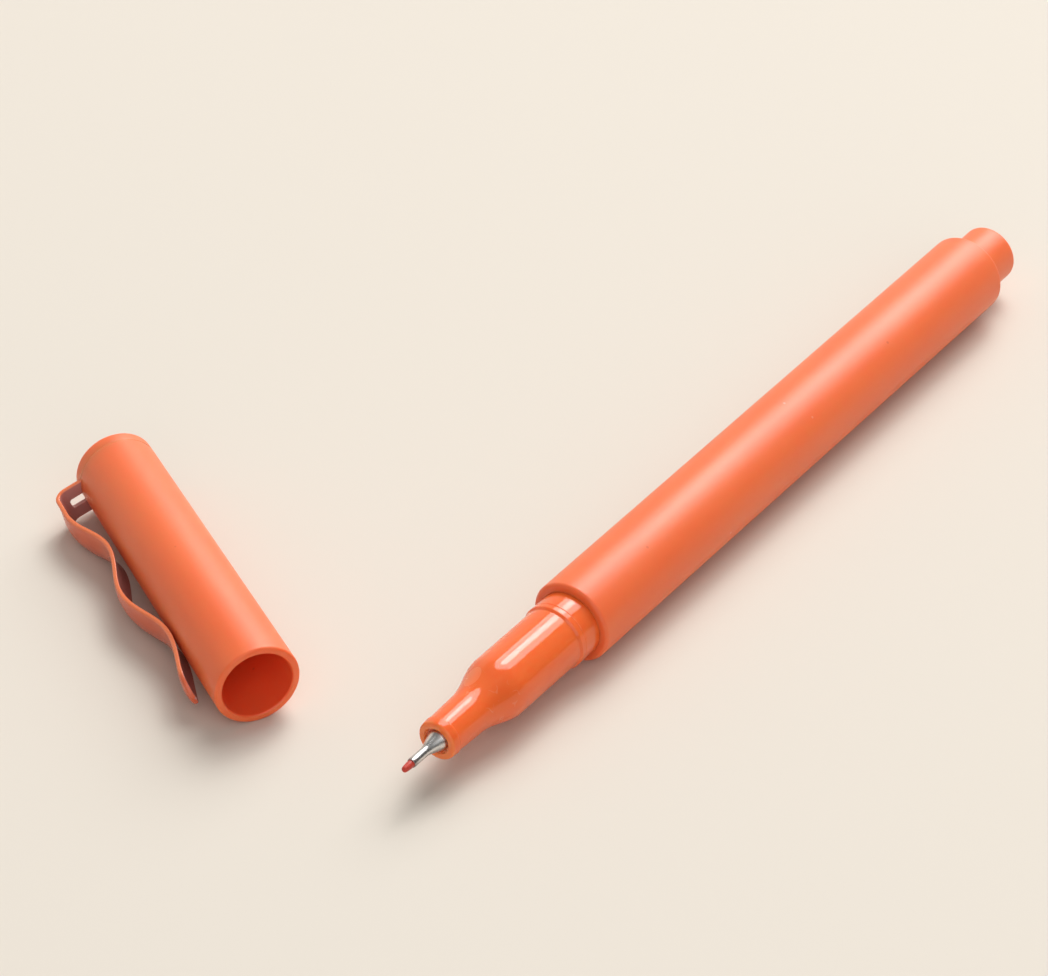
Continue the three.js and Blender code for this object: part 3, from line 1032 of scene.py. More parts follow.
@dataclass
class GripSection:
    """The bright front: band, snap bead, groove, grip, shoulder and nose, from the rim."""

    lie: Lie
    insert_radius: float = 3.75
    insert_length: float = 10.0
    wall: float = 0.85
    bead_radius: float = 3.78
    band_end: float = -2.3
    bead_end: float = -3.0
    bead_groove: float = 0.05
    groove_end: float = -3.3
    grip_radius: float = 3.58
    grip_end: float = -12.6
    shoulder_end: float = -18.8
    nose_end: float = -23.3
    nose_radius: float = 2.22
    nose_flare: float = 0.14
    nose_rounding: float = 0.32
    lip_length: float = 1.0
    lip_height: float = 0.11
    hole_radius: float = 1.47
    hole_depth: float = 0.3
    sleeve_bore: float = 1.0
    seat_step: float = 2.0
    shoulder_steps: int = 28
    crimps: int = 22
    crimp_inset: float = 0.02
    crimp_depth: float = 0.27
    crimp_width: float = 0.17
    crimp_length: float = 0.32
    crimp_seed: int = 7

    def build(self, lathe: Lathe) -> None:
        """Makes the section and the crimps inside its nose.

        Args:
            lathe: What turns the pieces.
        """
        polish = PolishedGrip("grip_polish", self.lie).material()
        body = lathe.body("grip_front", self._profile(), self.lie, polish)
        place_piece(body, Body.PEN, Slot.GRIP, "grip_section")
        plain = PolishedGrip("crimp_plastic", self.lie, glows=False).material()
        place_piece(self._crimp_ring(plain), Body.PEN, Slot.GRIP)

    def _profile(self) -> list[Spot]:
        """The section's profile, from the nose's rim round to its bore.

        Returns:
            The profile's points as (radius, along), in millimetres.
        """
        lip = self.nose_end + self.lip_length
        low = self.nose_radius + self.nose_flare
        outside: list[Corner] = [
            (self.hole_radius, self.nose_end, 0.14),
            (self.nose_radius, self.nose_end, self.nose_rounding),
            (self.nose_radius + self.lip_height, lip, 0.05),
            (self.nose_radius + 0.02, lip + 0.14, 0.05),
            (low, self.shoulder_end, 0),
        ]
        for i in range(1, self.shoulder_steps):
            share = i / self.shoulder_steps
            radius = low + (self.grip_radius - low) * ease(share**1.25)
            along = self.shoulder_end + share * (self.grip_end - self.shoulder_end)
            outside.append((radius, along, 0))
        outside += [
            (self.grip_radius, self.grip_end, 0),
            (self.grip_radius, self.groove_end, 0.2),
            (self.bead_radius, self.bead_end, 0.12),
            (self.bead_radius, self.band_end - 0.12, 0.06),
            (self.insert_radius - self.bead_groove, self.band_end - 0.04, 0.03),
            (self.insert_radius, self.band_end + 0.04, 0.03),
            (self.insert_radius, self.insert_length, 0.2),
        ]
        bore = self.insert_radius - self.wall
        seat = self.grip_end + self.seat_step
        inside: list[Corner] = [
            (bore, self.insert_length, 0.2),
            (bore, seat, 0.2),
            (bore - self.wall, seat, 0.2),
            (self.sleeve_bore, self.shoulder_end, 0.1),
            (self.sleeve_bore, self.nose_end + self.hole_depth, 0.05),
            (self.hole_radius, self.nose_end + self.hole_depth, 0.1),
        ]
        return rounded(outside + inside, closed=True, steps=6)

    def _crimp_ring(self, finish: bpy.types.Material) -> bpy.types.Object:
        """The small ridges that hold the steel sleeve, set round the nose's hole.

        Args:
            finish: The ridges' material.

        Returns:
            The ridges as one plain mesh.
        """
        tree = ShapeTree(
            "crimp_ridges",
            {
                "Ridges": ("NodeSocketInt", self.crimps),
                "Ring Radius": ("NodeSocketFloat", 0.001),
                "Along": ("NodeSocketFloat", 0.0),
                "Ridge Width": ("NodeSocketFloat", 0.0001),
                "Ridge Length": ("NodeSocketFloat", 0.0005),
                "Seed": ("NodeSocketInt", self.crimp_seed),
            },
        )
        ring = tree.add(
            "GeometryNodeMeshCircle",
            {"fill_type": "NONE"},
            {"Vertices": tree.size("Ridges"), "Radius": tree.size("Ring Radius")},
        )
        upright = tree.add(
            "GeometryNodeTransform",
            {},
            {
                "Geometry": ring,
                "Rotation": Euler((math.pi / 2, 0, 0)),
                "Translation": tree.vector(0.0, tree.size("Along"), 0.0),
            },
        )
        bead = tree.add(
            "GeometryNodeMeshUVSphere", {}, {"Segments": 10, "Rings": 8, "Radius": 0.5}
        )
        uneven = tree.add(
            "FunctionNodeRandomValue",
            {"data_type": "FLOAT"},
            {2: 0.7, 3: 1.3, "Seed": tree.size("Seed")},
            1,
        )
        width = tree.size("Ridge Width") * uneven
        scale = tree.vector(width, tree.size("Ridge Length") * uneven, width)
        ridges = tree.add(
            "GeometryNodeInstanceOnPoints",
            {},
            {"Points": upright, "Instance": bead, "Scale": scale},
        )
        tree.finish(tree.add("GeometryNodeRealizeInstances", {}, {0: ridges}), 60.0)
        piece = strung("nose_crimps", [(0, 0), (0, 1)])
        tree.shape(
            piece,
            {
                "Ridges": self.crimps,
                "Ring Radius": (self.hole_radius - self.crimp_inset) * MM,
                "Along": (self.nose_end + self.crimp_depth) * MM,
                "Ridge Width": self.crimp_width * MM,
                "Ridge Length": self.crimp_length * MM,
                "Seed": self.crimp_seed,
                "Finish": finish,
            },
        )
        settle(piece, self.lie)
        return piece


@dataclass
class Point:
    """The steel sleeve with its nib, and the ink behind it, lengths from the barrel's rim."""

    lie: Lie
    tube_bore: float = 0.43
    tube_radius: float = 0.53
    tube_end: float = -27.43
    cone_end: float = -24.97
    cone_foot: float = -22.6
    cone_radius: float = 1.42
    cone_hollow: float = 0.05
    cone_steps: int = 14
    seat: float = -21.9
    stem_radius: float = 0.9
    stem_end: float = -16.8
    nib_radius: float = 0.41
    nib_tip: float = -28.8
    nib_taper: float = 0.9
    nib_rear: float = 1.7
    ink_front: float = -10.3
    ink_rear: float = 74.1
    ink_radius: float = 2.3
    wick_bore: float = 0.47
    wick_room: float = 0.3
    film_radius: float = 2.6
    film_wall: float = 0.2

    def build(self, lathe: Lathe) -> None:
        """Makes the sleeve, the nib, the reservoir and its film.

        Args:
            lathe: What turns the pieces.
        """
        steel = TurnedSteel("sleeve_steel", self.lie).material()
        sleeve = lathe.body("steel_sleeve", self._sleeve_profile(), self.lie, steel, 96)
        place_piece(sleeve, Body.PEN, Slot.STEEL, "nib_sleeve")
        felt = InkedFelt("nib_felt", self.lie).material()
        nib = rounded(
            [
                (0, self.nib_tip, 0),
                (self.nib_radius * 0.75, self.nib_tip, self.nib_radius * 0.72),
                (self.nib_radius, self.nib_tip + self.nib_taper, 0.3),
                (self.nib_radius, self.nib_rear, 0.1),
                (0, self.nib_rear, 0),
            ],
            steps=12,
        )
        point = lathe.body("felt_nib", nib, self.lie, felt, 64)
        place_piece(point, Body.PEN, Slot.NIB, "nib")
        self._build_ink(lathe)

    def _sleeve_profile(self) -> list[Spot]:
        """The sleeve's profile: rolled end, tube, hollow-cheeked cone and stem.

        Returns:
            The profile's points as (radius, along), in millimetres.
        """
        corners: list[Corner] = [
            (self.tube_bore, self.tube_end, 0.03),
            (self.tube_radius - 0.02, self.tube_end, 0.05),
            (self.tube_radius, self.tube_end + 0.28, 0.05),
            (self.tube_radius - 0.02, self.tube_end + 0.36, 0.05),
            (self.tube_radius - 0.01, self.cone_end - 0.3, 0),
        ]
        width = self.cone_radius - self.tube_radius
        for i in range(self.cone_steps + 1):
            share = i / self.cone_steps
            hollow = self.cone_hollow * math.sin(math.pi * share)
            radius = self.tube_radius + 0.02 + width * share - hollow
            corners.append((radius, self.cone_end + share * (self.cone_foot - self.cone_end), 0))
        corners += [
            (self.cone_radius, self.cone_foot + 0.15, 0.05),
            (self.cone_radius, self.seat, 0.05),
            (self.stem_radius, self.seat, 0.03),
            (self.stem_radius, self.stem_end, 0.05),
            (self.tube_bore, self.stem_end, 0.05),
        ]
        return rounded(corners, closed=True, steps=4)

    def _build_ink(self, lathe: Lathe) -> None:
        """Makes the ink reservoir and the film round it.

        Args:
            lathe: What turns the pieces.
        """
        fibre = InkedFelt(
            "reservoir_fibre", self.lie, (0.60, 0.07, 0.025), (0.42, 0.035, 0.015)
        ).material()
        wick_end = self.nib_rear + self.wick_room
        core = rounded(
            [
                (0, wick_end, 0),
                (self.wick_bore, wick_end, 0.1),
                (self.wick_bore, self.ink_front, 0.1),
                (self.ink_radius, self.ink_front, 0.25),
                (self.ink_radius, self.ink_rear, 0.25),
                (0, self.ink_rear, 0),
            ],
            steps=5,
        )
        reservoir = lathe.body("ink_core", core, self.lie, fibre, 72)
        place_piece(reservoir, Body.PEN, Slot.RESERVOIR, "ink_reservoir")
        film = rounded(
            [
                (self.film_radius - self.film_wall, self.ink_front, 0.06),
                (self.film_radius, self.ink_front, 0.06),
                (self.film_radius, self.ink_rear, 0.06),
                (self.film_radius - self.film_wall, self.ink_rear, 0.06),
            ],
            closed=True, steps=3,
        )
        wrap = MilkyFilm("film_wrap", self.lie).material()
        skin = lathe.body("ink_film", film, self.lie, wrap, 96)
        place_piece(skin, Body.PEN, Slot.FILM, "reservoir_film")


# ---- the cap -------------------------------------------------------------------------------
@dataclass
class Cap:
    """The cap's tube, liner and top button, lengths from its mouth."""

    lie: Lie
    mouth_radius: float = 4.7154
    top_radius: float = 4.485
    bore: float = 3.88
    length: float = 39.15
    mouth_rounding: float = 0.5
    chamfer: float = 0.15
    neck_bore: float = 3.31
    neck_length: float = 3.6
    liner_bore: float = 2.46
    liner_wall: float = 0.6
    liner_mouth: float = 18.9
    liner_inside: float = 31.45
    liner_end: float = 32.45
    liner_flange: float = 2.2
    liner_gap: float = 0.1
    button_front: float = 39.83
    button_end: float = 41.23
    button_radius: float = 4.47
    button_rounding: float = 0.45
    button_crown: float = 0.2
    button_gap: float = 0.001
    stem_radius: float = 3.21
    stem_wall: float = 0.8
    stem_length: float = 5.2
    lip_width: float = 0.14
    lip_height: float = 0.25

    def build(self, lathe: Lathe) -> None:
        """Makes the tube, the liner and the button.

        Args:
            lathe: What turns the pieces.
        """
        shell = SatinShell(
            "cap_shell", self.lie, bore=self.bore, bore_end=self.length - 0.2
        ).material()
        tube = lathe.body("cap_sleeve", self._tube_profile(), self.lie, shell)
        place_piece(tube, Body.CAP, Slot.SHELL, "cap_tube")
        liner = PlainLiner("liner_plastic", self.lie).material()
        body = lathe.body("cap_liner", self._liner_profile(), self.lie, liner, 96)
        place_piece(body, Body.CAP, Slot.LINER, "inner_cap")
        button = lathe.body("top_button", self._button_profile(), self.lie, shell)
        place_piece(button, Body.CAP, Slot.SHELL, "cap_button")

    def _tube_profile(self) -> list[Spot]:
        """The tube's profile, with its rounded mouth and the neck under the button.

        Returns:
            The profile's points as (radius, along), in millimetres.
        """
        neck = self.length - self.neck_length
        inside = self.top_radius - self.lip_width
        lip_end = self.length + self.lip_height
        return rounded(
            [
                (self.bore + self.chamfer, 0, 0.04),
                (self.mouth_radius, 0, self.mouth_rounding),
                (self.top_radius, lip_end, 0.07),
                (inside, lip_end, 0.03),
                (inside, self.length, 0.03),
                (self.neck_bore, self.length, 0.08),
                (self.neck_bore, neck, 0.2),
                (self.bore, neck, 0.2),
                (self.bore, self.chamfer, 0.05),
            ],
            closed=True, steps=9,
        )

    def _liner_profile(self) -> list[Spot]:
        """The liner's profile: a cup that seals round the nose, with a flange behind.

        Returns:
            The profile's points as (radius, along), in millimetres.
        """
        flange = self.bore - self.liner_gap
        flange_start = self.liner_end - self.liner_flange
        outside = self.liner_bore + self.liner_wall
        return rounded(
            [
                (0, self.liner_inside, 0),
                (self.liner_bore, self.liner_inside, 0.5),
                (self.liner_bore, self.liner_mouth, 0.22),
                (outside, self.liner_mouth, 0.22),
                (outside, flange_start, 0.2),
                (flange, flange_start, 0.15),
                (flange, self.liner_end, 0.15),
                (0, self.liner_end, 0),
            ],
            steps=6,
        )

    def _button_profile(self) -> list[Spot]:
        """The button's profile: a hollow stem and a softly crowned head.

        Returns:
            The profile's points as (radius, along), in millimetres.
        """
        cup = self.stem_radius - self.stem_wall
        stem_end = self.button_front - self.stem_length
        lip = self.button_radius - self.lip_width
        lip_end = self.button_front - self.lip_height
        back = self.button_end - self.button_crown
        top = self.button_end - self.button_gap
        return rounded(
            [
                (0, self.button_front, 0),
                (cup, self.button_front, 0.3),
                (cup, stem_end, 0.1),
                (self.stem_radius, stem_end, 0.2),
                (self.stem_radius, self.button_front, 0.05),
                (lip, self.button_front, 0.03),
                (lip, lip_end, 0.03),
                (self.button_radius, lip_end, 0.07),
                (self.button_radius, back, self.button_rounding),
                (self.button_radius * 0.5, top, 3.0),
                (0, top, 0),
            ],
            steps=10,
        )


@dataclass
class Clip:
    """The clip: a ring under the button, an arm with a window and a wavy blade.

    The blade is set by its turning points, each given as the drop below the plate's middle
    and the rise of the blade's edges over the cap's wall.
    """

    lie: Lie
    thickness: float = 0.48
    width: float = 4.4
    edge_rounding: float = 0.17
    narrowest: float = 0.12
    plate: float = 39.49
    strip_start: float = 3.45
    bend_radius: float = 1.2
    tube_length: float = 39.15
    wall_top: float = 4.499
    wall_taper: float = 0.0059
    ring_radius: float = 4.45
    ring_bore: float = 3.31
    window_width: float = 1.25
    window_start: float = 3.5
    window_end: float = 6.099
    window_rounding: float = 0.3
    window_block: float = 2.0
    crown: float = 0.42
    crown_run: float = 2.5
    tip_length: float = 3.0
    turns: tuple[Spot, ...] = (
        (3.69, 2.69), (11.5, 0.65), (18.93, 2.13), (27.88, 0.12), (36.3, 1.45),
    )
    flex_half_length: float = 1.0
    plate_steps: int = 8
    bend_steps: int = 12
    arm_steps: int = 6
    wave_steps: int = 22
    tip_steps: int = 16
    edge_steps: int = 6
    face_steps: int = 8

    def build(self, lathe: Lathe, hinge: Vector) -> None:
        """Makes the ring and the bent strip.

        Args:
            lathe: What turns the ring.
            hinge: Where the model's blade flexes; not used.
        """
        lacquer = ClipLacquer("clip_lacquer", self.lie, half_width=self.width / 2).material()
        half = self.thickness / 2
        washer = rounded(
            [
                (self.ring_bore, self.plate - half, 0.06),
                (self.ring_radius, self.plate - half, 0.12),
                (self.ring_radius, self.plate + half, 0.12),
                (self.ring_bore, self.plate + half, 0.06),
            ],
            closed=True, steps=5,
        )
        place_piece(lathe.body("clip_ring", washer, self.lie, lacquer), Body.CAP, Slot.CLIP)
        strip = self._strip(lacquer)
        settle(strip, self.lie)
        flex = self.lie.along * self.flex_half_length * MM
        hinge + flex
        hinge - flex
        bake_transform(strip)
        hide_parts("clip_mount", "clip_blade")
        report(strip, "cap and clip")

    def wall(self, along: float) -> float:
        """The cap's radius at a length from its mouth."""
        return self.wall_top + self.wall_taper * (self.tube_length - along)

    def _line(self) -> list[Spot]:
        """The strip's middle line as (out, along), from inside the ring to the tip.

        Returns:
            The line's stations, in millimetres.
        """
        levels = [self.wall(self.plate - drop) + rise for drop, rise in self.turns]
        levels[0] = self.wall_top + self.turns[0][1]
        bend_out = levels[0] - self.bend_radius
        bend_along = self.plate - self.bend_radius
        plate_run = bend_out - self.strip_start
        line = [
            (self.strip_start + plate_run * i / self.plate_steps, self.plate)
            for i in range(self.plate_steps)
        ]
        for i in range(self.bend_steps + 1):
            angle = math.radians(90 - 90 * i / self.bend_steps)
            out = bend_out + self.bend_radius * math.cos(angle)
            line.append((out, bend_along + self.bend_radius * math.sin(angle)))
        arm_run = self.plate - self.turns[0][0] - bend_along
        for i in range(1, self.arm_steps + 1):
            line.append((levels[0], bend_along + arm_run * i / self.arm_steps))
        for k in range(1, len(self.turns)):
            low, high = self.turns[k - 1][0], self.turns[k][0]
            for i in range(1, self.wave_steps + 1):
                share = i / self.wave_steps
                out = levels[k - 1] + (levels[k] - levels[k - 1]) * ease(share)
                line.append((out, self.plate - low - (high - low) * share))
        return self._with_round_tip(line)

    def _with_round_tip(self, line: list[Spot]) -> list[Spot]:
        """Replaces the line's last stretch by stations that crowd towards the tip.

        Args:
            line: The middle line.

        Returns:
            The line with its new end.
        """
        end = self.plate - self.turns[-1][0]
        tip_start = end + self.tip_length
        tiny, least_step, overlap = 1e-9, 0.05, 0.6
        kept = [spot for spot in line if spot[1] > tip_start + least_step]
        tail = [spot for spot in line if spot[1] <= tip_start + overlap]
        for i in range(self.tip_steps + 1):
            along = end + self.tip_length * (1 - math.sin(math.pi / 2 * i / self.tip_steps))
            after = min((s for s in tail if s[1] >= along - tiny), key=lambda s: s[1])
            before = max((s for s in tail if s[1] <= along + tiny), key=lambda s: s[1])
            run = after[1] - before[1]
            share = (along - before[1]) / run if run > tiny else 0.0
            kept.append((before[0] + (after[0] - before[0]) * share, along))
        return kept

    def _section(self) -> list[Corner]:
        """The strip's cross-section as (side, outwards from the side, through), going round.

        Returns:
            The section's points.
        """
        round_by, half = self.edge_rounding, self.thickness / 2
        section: list[Corner] = []
        for side, face in ((1, 1), (-1, 1), (-1, -1), (1, -1)):
            arc: list[Corner] = []
            for i in range(self.edge_steps + 1):
                angle = math.pi / 2 * i / self.edge_steps
                through = half - round_by + round_by * math.sin(angle)
                arc.append((side, side * round_by * math.cos(angle), face * through))
            if side == face:
                flat = [
                    (side * (1 - 2 * i / self.face_steps), 0, face * half)
                    for i in range(1, self.face_steps)
                ]
                section += arc + flat
            else:
                section += arc[::-1]
        return section

    def _strip(self, finish: bpy.types.Material) -> bpy.types.Object:
        """Makes the arm and the blade as one bent strip, with the window cut through the arm.

        Args:
            finish: The strip's material.

        Returns:
            The strip as a plain mesh, on the cap's own axes.
        """
        line = self._line()
        stations = [line[0], *line, line[-1]]
        strip = strung("clip_strip", stations)
        size, through, width, crown = self._station_values(line)
        for name, kind, values in (
            ("size", "FLOAT", size),
            ("half_width", "FLOAT", width),
            ("crown", "FLOAT", crown),
            ("through", "FLOAT_VECTOR", through),
        ):
            layer = strip.data.attributes.new(name, kind, "POINT")
            layer.data.foreach_set("vector" if kind == "FLOAT_VECTOR" else "value", values)
        section = strung("clip_section", self._section())
        self._strip_tree().shape(
            strip,
            {
                "Section": section,
                "Edge Rounding": self.edge_rounding * MM,
                "Window Length": (self.window_end - self.window_start) * MM,
                "Window Width": self.window_width * MM,
                "Window Rounding": self.window_rounding * MM,
                "Window Out": (self.window_end + self.window_start) / 2 * MM,
                "Window Along": self.plate * MM,
                "Finish": finish,
            },
        )
        bpy.data.objects.remove(section)
        return strip

    def _station_values(
        self, line: list[Spot]
    ) -> tuple[list[float], list[float], list[float], list[float]]:
        """What the strip's tree reads at each station, with a closing one at both ends.

        Args:
            line: The strip's middle line.

        Returns:
            The share of the section's size, the direction through the sheet, half the width
            and the crown's height.
        """
        end = self.plate - self.turns[-1][0]
        top = self.plate - self.bend_radius
        through: list[float] = []
        width: list[float] = []
        crown: list[float] = []
        for i, (_, along) in enumerate(line):
            before, after = Vector(line[max(i - 1, 0)]), Vector(line[min(i + 1, len(line) - 1)])
            run = (after - before).normalized()
            through += [-run.y, run.x, 0.0]
            left = max(along - end, 0.0) / self.tip_length
            share = math.sqrt(max(1 - (1 - left) ** 2, 0.0)) if left < 1 else 1.0
            least = self.edge_rounding + self.narrowest
            width.append(max(self.width / 2 * share, least) * MM)
            below = min(max((top - along) / self.crown_run, 0.0), 1.0)
            crown.append(self.crown * ease(below) * share * MM if below else 0.0)
        size = [0.0, *[1.0] * len(line), 0.0]
        through = through[:3] + through + through[-3:]
        width = [width[0], *width, width[-1]]
        crown = [crown[0], *crown, crown[-1]]
        return size, through, width, crown

    def _strip_tree(self) -> ShapeTree:
        """Builds the tree that skins the strip and cuts its window.

        Returns:
            The tree.
        """
        tree = ShapeTree(
            "bent_strip",
            {
                "Section": ("NodeSocketObject", None),
                "Edge Rounding": ("NodeSocketFloat", 0.0002),
                "Window Length": ("NodeSocketFloat", 0.002),
                "Window Width": ("NodeSocketFloat", 0.001),
                "Window Rounding": ("NodeSocketFloat", 0.0003),
                "Window Out": ("NodeSocketFloat", 0.005),
                "Window Along": ("NodeSocketFloat", 0.04),
            },
        )
        path = tree.size("Geometry")
        section = tree.add(
            "GeometryNodeObjectInfo",
            {"transform_space": "ORIGINAL"},
            {"Object": tree.size("Section")},
            "Geometry",
        )
        round_count = tree.point_count(section)
        rows = round_count + 1
        grid = tree.add(
            "GeometryNodeMeshGrid", {}, {"Vertices X": tree.point_count(path), "Vertices Y": rows}
        )
        index = tree.add("GeometryNodeInputIndex")
        station = ((index + 0.5) / rows).math("FLOOR")
        step = (index - station * rows).math("FLOORED_MODULO", round_count)
        place = tree.add("GeometryNodeInputPosition")
        middle = tree.at(path, station, place)
        size, half, crown = (
            self._read(tree, path, station, name, "FLOAT")
            for name in ("size", "half_width", "crown")
        )
        through = self._read(tree, path, station, "through", "FLOAT_VECTOR")
        spot = tree.add("ShaderNodeSeparateXYZ", {}, {0: tree.at(section, step, place)})
        across = (spot / MM * (half - tree.size("Edge Rounding")) + spot.other(1)) * size
        pressed = crown * (1 - (across / half) ** 2.0)
        lifted = tree.add(
            "ShaderNodeVectorMath",
            {"operation": "SCALE"},
            {0: through, "Scale": spot.other(2) * size},
        )
        seated = tree.add("ShaderNodeVectorMath", {"operation": "ADD"}, {0: middle, 1: lifted})
        final = tree.add(
            "ShaderNodeVectorMath",
            {"operation": "ADD"},
            {0: seated, 1: tree.vector(pressed, 0.0, across)},
        )
        skin = tree.add("GeometryNodeSetPosition", {}, {"Geometry": grid, "Position": final})
        depth = tree.add(
            "GeometryNodeFieldOnDomain",
            {"data_type": "FLOAT", "domain": "POINT"},
            {0: spot.other(2) / (-self.thickness / 2 * MM)},
        )
        marked = tree.add(
            "GeometryNodeStoreNamedAttribute",
            {"data_type": "FLOAT", "domain": "FACE"},
            {"Geometry": skin, "Name": "inward", "Value": depth},
        )
        merged = tree.add(
            "GeometryNodeMergeByDistance", {}, {"Geometry": marked, "Distance": WELD}
        )
        outwards = tree.add("GeometryNodeFlipFaces", {}, {"Mesh": merged})
        cut = tree.add(
            "GeometryNodeMeshBoolean",
            {"operation": "DIFFERENCE", "solver": "EXACT"},
            {"Mesh 1": outwards, "Mesh 2": self._window_block(tree)},
        )
        tree.finish(cut, 38.0)
        return tree

    @staticmethod
    def _read(tree: ShapeTree, path: Wire, station: Wire, name: str, kind: str) -> Wire:
        """A station's stored value."""
        stored = tree.add("GeometryNodeInputNamedAttribute", {"data_type": kind}, {"Name": name})
        return tree.at(path, station, stored, kind)

    def _window_block(self, tree: ShapeTree) -> Wire:
        """A block with rounded corners that stands through the arm where the window is.

        Args:
            tree: The strip's tree.

        Returns:
            The block.
        """
        outline = tree.add(
            "GeometryNodeCurvePrimitiveQuadrilateral",
            {"mode": "RECTANGLE"},
            {"Width": tree.size("Window Length"), "Height": tree.size("Window Width")},
        )
        soft = tree.add(
            "GeometryNodeFilletCurve",
            {"mode": "POLY"},
            {"Curve": outline, "Count": 6, "Radius": tree.size("Window Rounding")},
        )
        face = tree.add("GeometryNodeFillCurve", {"mode": "NGONS"}, {"Curve": soft})
        flipped = tree.add("GeometryNodeFlipFaces", {}, {"Mesh": face})
        raised = tree.add(
            "GeometryNodeExtrudeMesh",
            {"mode": "FACES"},
            {
                "Mesh": face,
                "Offset": (0.0, 0.0, 1.0),
                "Offset Scale": self.window_block * MM,
                "Individual": False,
            },
        )
        joined = tree.add("GeometryNodeJoinGeometry", {}, {"Geometry": raised})
        tree.tree.links.new(flipped.socket, joined.socket.node.inputs[0])
        sealed = tree.add(
            "GeometryNodeMergeByDistance", {}, {"Geometry": joined, "Distance": WELD}
        )
        # The window's walls are marked as inward, so they take the inward face's colour.
        walls_marked_inward = tree.add(
            "GeometryNodeStoreNamedAttribute",
            {"data_type": "FLOAT", "domain": "FACE"},
            {"Geometry": sealed, "Name": "inward", "Value": 1.0},
        )
        along = tree.size("Window Along") + self.window_block / 2 * MM
        return tree.add(
            "GeometryNodeTransform",
            {},
            {
                "Geometry": walls_marked_inward,
                "Rotation": Euler((math.pi / 2, 0, 0)),
                "Translation": tree.vector(tree.size("Window Out"), along, 0.0),
            },
        )


# ---- the studio ----------------------------------------------------------------------------
@dataclass
class Lamp:
    """An oval lamp that faces the middle of the object."""

    name: str
    toward: Vector
    wide: Vector
    distance: float
    size: Spot
    watts: float

    def build(self, middle: Vector) -> None:
        """Hangs the lamp.

        Args:
            middle: What it faces.
        """
        light = bpy.data.lights.new(self.name, "AREA")
        light.shape = "ELLIPSE"
        light.size, light.size_y = self.size
        light.energy = self.watts
        back = self.toward.normalized()
        across = (self.wide - back * self.wide.dot(back)).normalized()
        lamp = add_object(self.name, light)
        turn = Matrix((across, back.cross(across), back)).transposed()
        lamp.matrix_world = Matrix.Translation(middle + back * self.distance) @ turn.to_4x4()


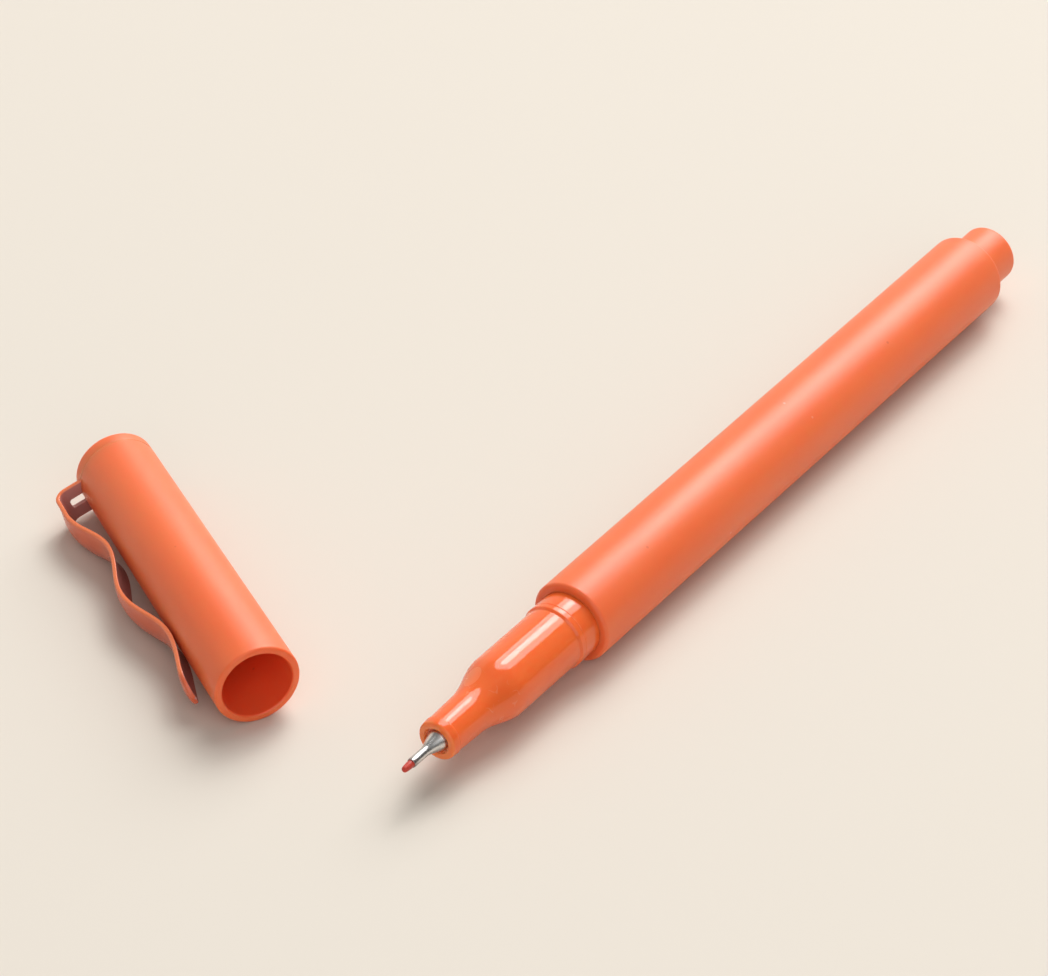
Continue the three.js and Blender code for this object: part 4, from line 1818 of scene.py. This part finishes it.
@dataclass
class Studio:
    """The table, the lamps and the camera."""

    lens: float = 153.19
    camera_at: Corner = (-0.173927, -0.339936, 0.295485)
    camera_to: Corner = (-0.008985, 0.013004, 0.0)
    table_size: float = 3.0
    table_colour: Shade = (0.705, 0.647, 0.568)
    key_from: Vector = field(default_factory=lambda: Vector((0.539, 0.43, 0.725)))
    core_from: Vector = field(default_factory=lambda: Vector((0.489, 0.439, 0.754)))
    key_wide: Vector = field(default_factory=lambda: Vector((-0.4795, 0.8572, -0.1888)))
    fill_from: Vector = field(default_factory=lambda: Vector((-0.2, -0.8, 0.52)))
    room_dark: Shade = (0.13, 0.128, 0.124)
    room_pale: Shade = (0.38, 0.374, 0.365)
    room_pale_way: Corner = (-0.1, 0.65, 0.75)
    backdrop: Shade = (0.90, 0.83, 0.73)
    backdrop_top: float = 0.75
    backdrop_top_fade: float = 0.25
    backdrop_side: float = 0.35
    backdrop_side_fade: float = 0.3

    def build(self) -> None:
        """Sets up everything that isn't the object."""
        scene = bpy.context.scene
        scene.view_settings.view_transform = "Standard"
        self._build_world()
        self._build_table()
        self._build_camera()
        middle = Vector((0.0, 0.0, 0.0))
        for name, toward, distance, size, watts in (
            ("softbox", self.key_from, 2.4, (1.95, 2.8), 60.0),
            ("softbox_core", self.core_from, 2.36, (0.62, 0.95), 10.5),
            ("fill", self.fill_from, 2.4, (2.8, 2.8), 22.0),
        ):
            Lamp(name, toward, self.key_wide, distance, size, watts).build(middle)

    def _build_world(self) -> None:
        """Makes the room pale behind the table and dark to its right."""
        world = bpy.data.worlds.new("room")
        bpy.context.scene.world = world
        graph = cleared(world)
        way = graph.add("ShaderNodeTexCoord")
        toward = graph.add(
            "ShaderNodeVectorMath", {"operation": "DOT_PRODUCT"}, {0: way, 1: self.room_pale_way},
            "Value",
        )
        colour = graph.blend(toward.between(-0.3, 0.7), self.room_dark, self.room_pale)
        parts = graph.add("ShaderNodeSeparateXYZ", {}, {0: way})
        ray = graph.add("ShaderNodeLightPath", output="Is Camera Ray")
        seen = ray.math("MAXIMUM", ray.other("Is Glossy Ray")).math(
            "MAXIMUM", ray.other("Is Transmission Ray")
        )
        top, side = self.backdrop_top, self.backdrop_side
        low = parts.other(2).between(top, top - self.backdrop_top_fade)
        behind = parts.other(1).between(side, side + self.backdrop_side_fade)
        colour = graph.blend(seen * low * behind, colour, self.backdrop)
        light = graph.add("ShaderNodeBackground", {}, {"Color": colour})
        graph.add("ShaderNodeOutputWorld", {}, {"Surface": light})

    def _build_table(self) -> None:
        """Lays the pale table under the object."""
        half = self.table_size / 2
        mesh = bpy.data.meshes.new("table_top")
        corners = [(-half, -half, 0), (half, -half, 0), (half, half, 0), (-half, half, 0)]
        mesh.from_pydata(corners, [], [(0, 1, 2, 3)])
        table = add_object("table_top", mesh)
        material = bpy.data.materials.new("table_cream")
        graph = cleared(material)
        shader = graph.add(
            "ShaderNodeBsdfPrincipled",
            {},
            {"Base Color": (*self.table_colour, 1), "Roughness": 0.7, "Specular IOR Level": 0.2},
        )
        graph.add("ShaderNodeOutputMaterial", {}, {"Surface": shader})
        mesh.materials.append(material)

    def _build_camera(self) -> None:
        """Sets the camera on its stand."""
        data = bpy.data.cameras.new("camera")
        data.lens = self.lens
        data.sensor_width = 36.0
        data.clip_start, data.clip_end = 0.01, 20.0
        camera = add_object("camera", data)
        camera.location = self.camera_at
        look = Vector(self.camera_to) - Vector(self.camera_at)
        camera.rotation_euler = look.to_track_quat("-Z", "Y").to_euler()
        bpy.context.scene.camera = camera


def main() -> None:
    """Builds the studio, the pen and the cap."""
    logging.basicConfig(level=logging.INFO, format="%(name)s %(message)s")
    Studio().build()
    lathe = Lathe()

    mounts = frame["record"]["mounts"]
    tail, nose_to_tail = place_and_axis(mounts, "tail_end")
    up = Vector((0.0, 0.0, 1.0))
    pen_lie = Lie(tail - nose_to_tail * (Barrel.stub_end * MM), nose_to_tail, up)
    Barrel(pen_lie).build(lathe)
    GripSection(pen_lie).build(lathe)
    Point(pen_lie).build(lathe)

    cap_top, mouth_to_top = place_and_axis(mounts, "cap_top")
    hinge, across = place_and_axis(frame["joints"], "clip_flex")
    cap_lie = Lie(
        cap_top - mouth_to_top * (Cap.button_end * MM), mouth_to_top, mouth_to_top.cross(across)
    )
    Cap(cap_lie).build(lathe)
    Clip(cap_lie).build(lathe, hinge)


if __name__ == "__main__":
    main()
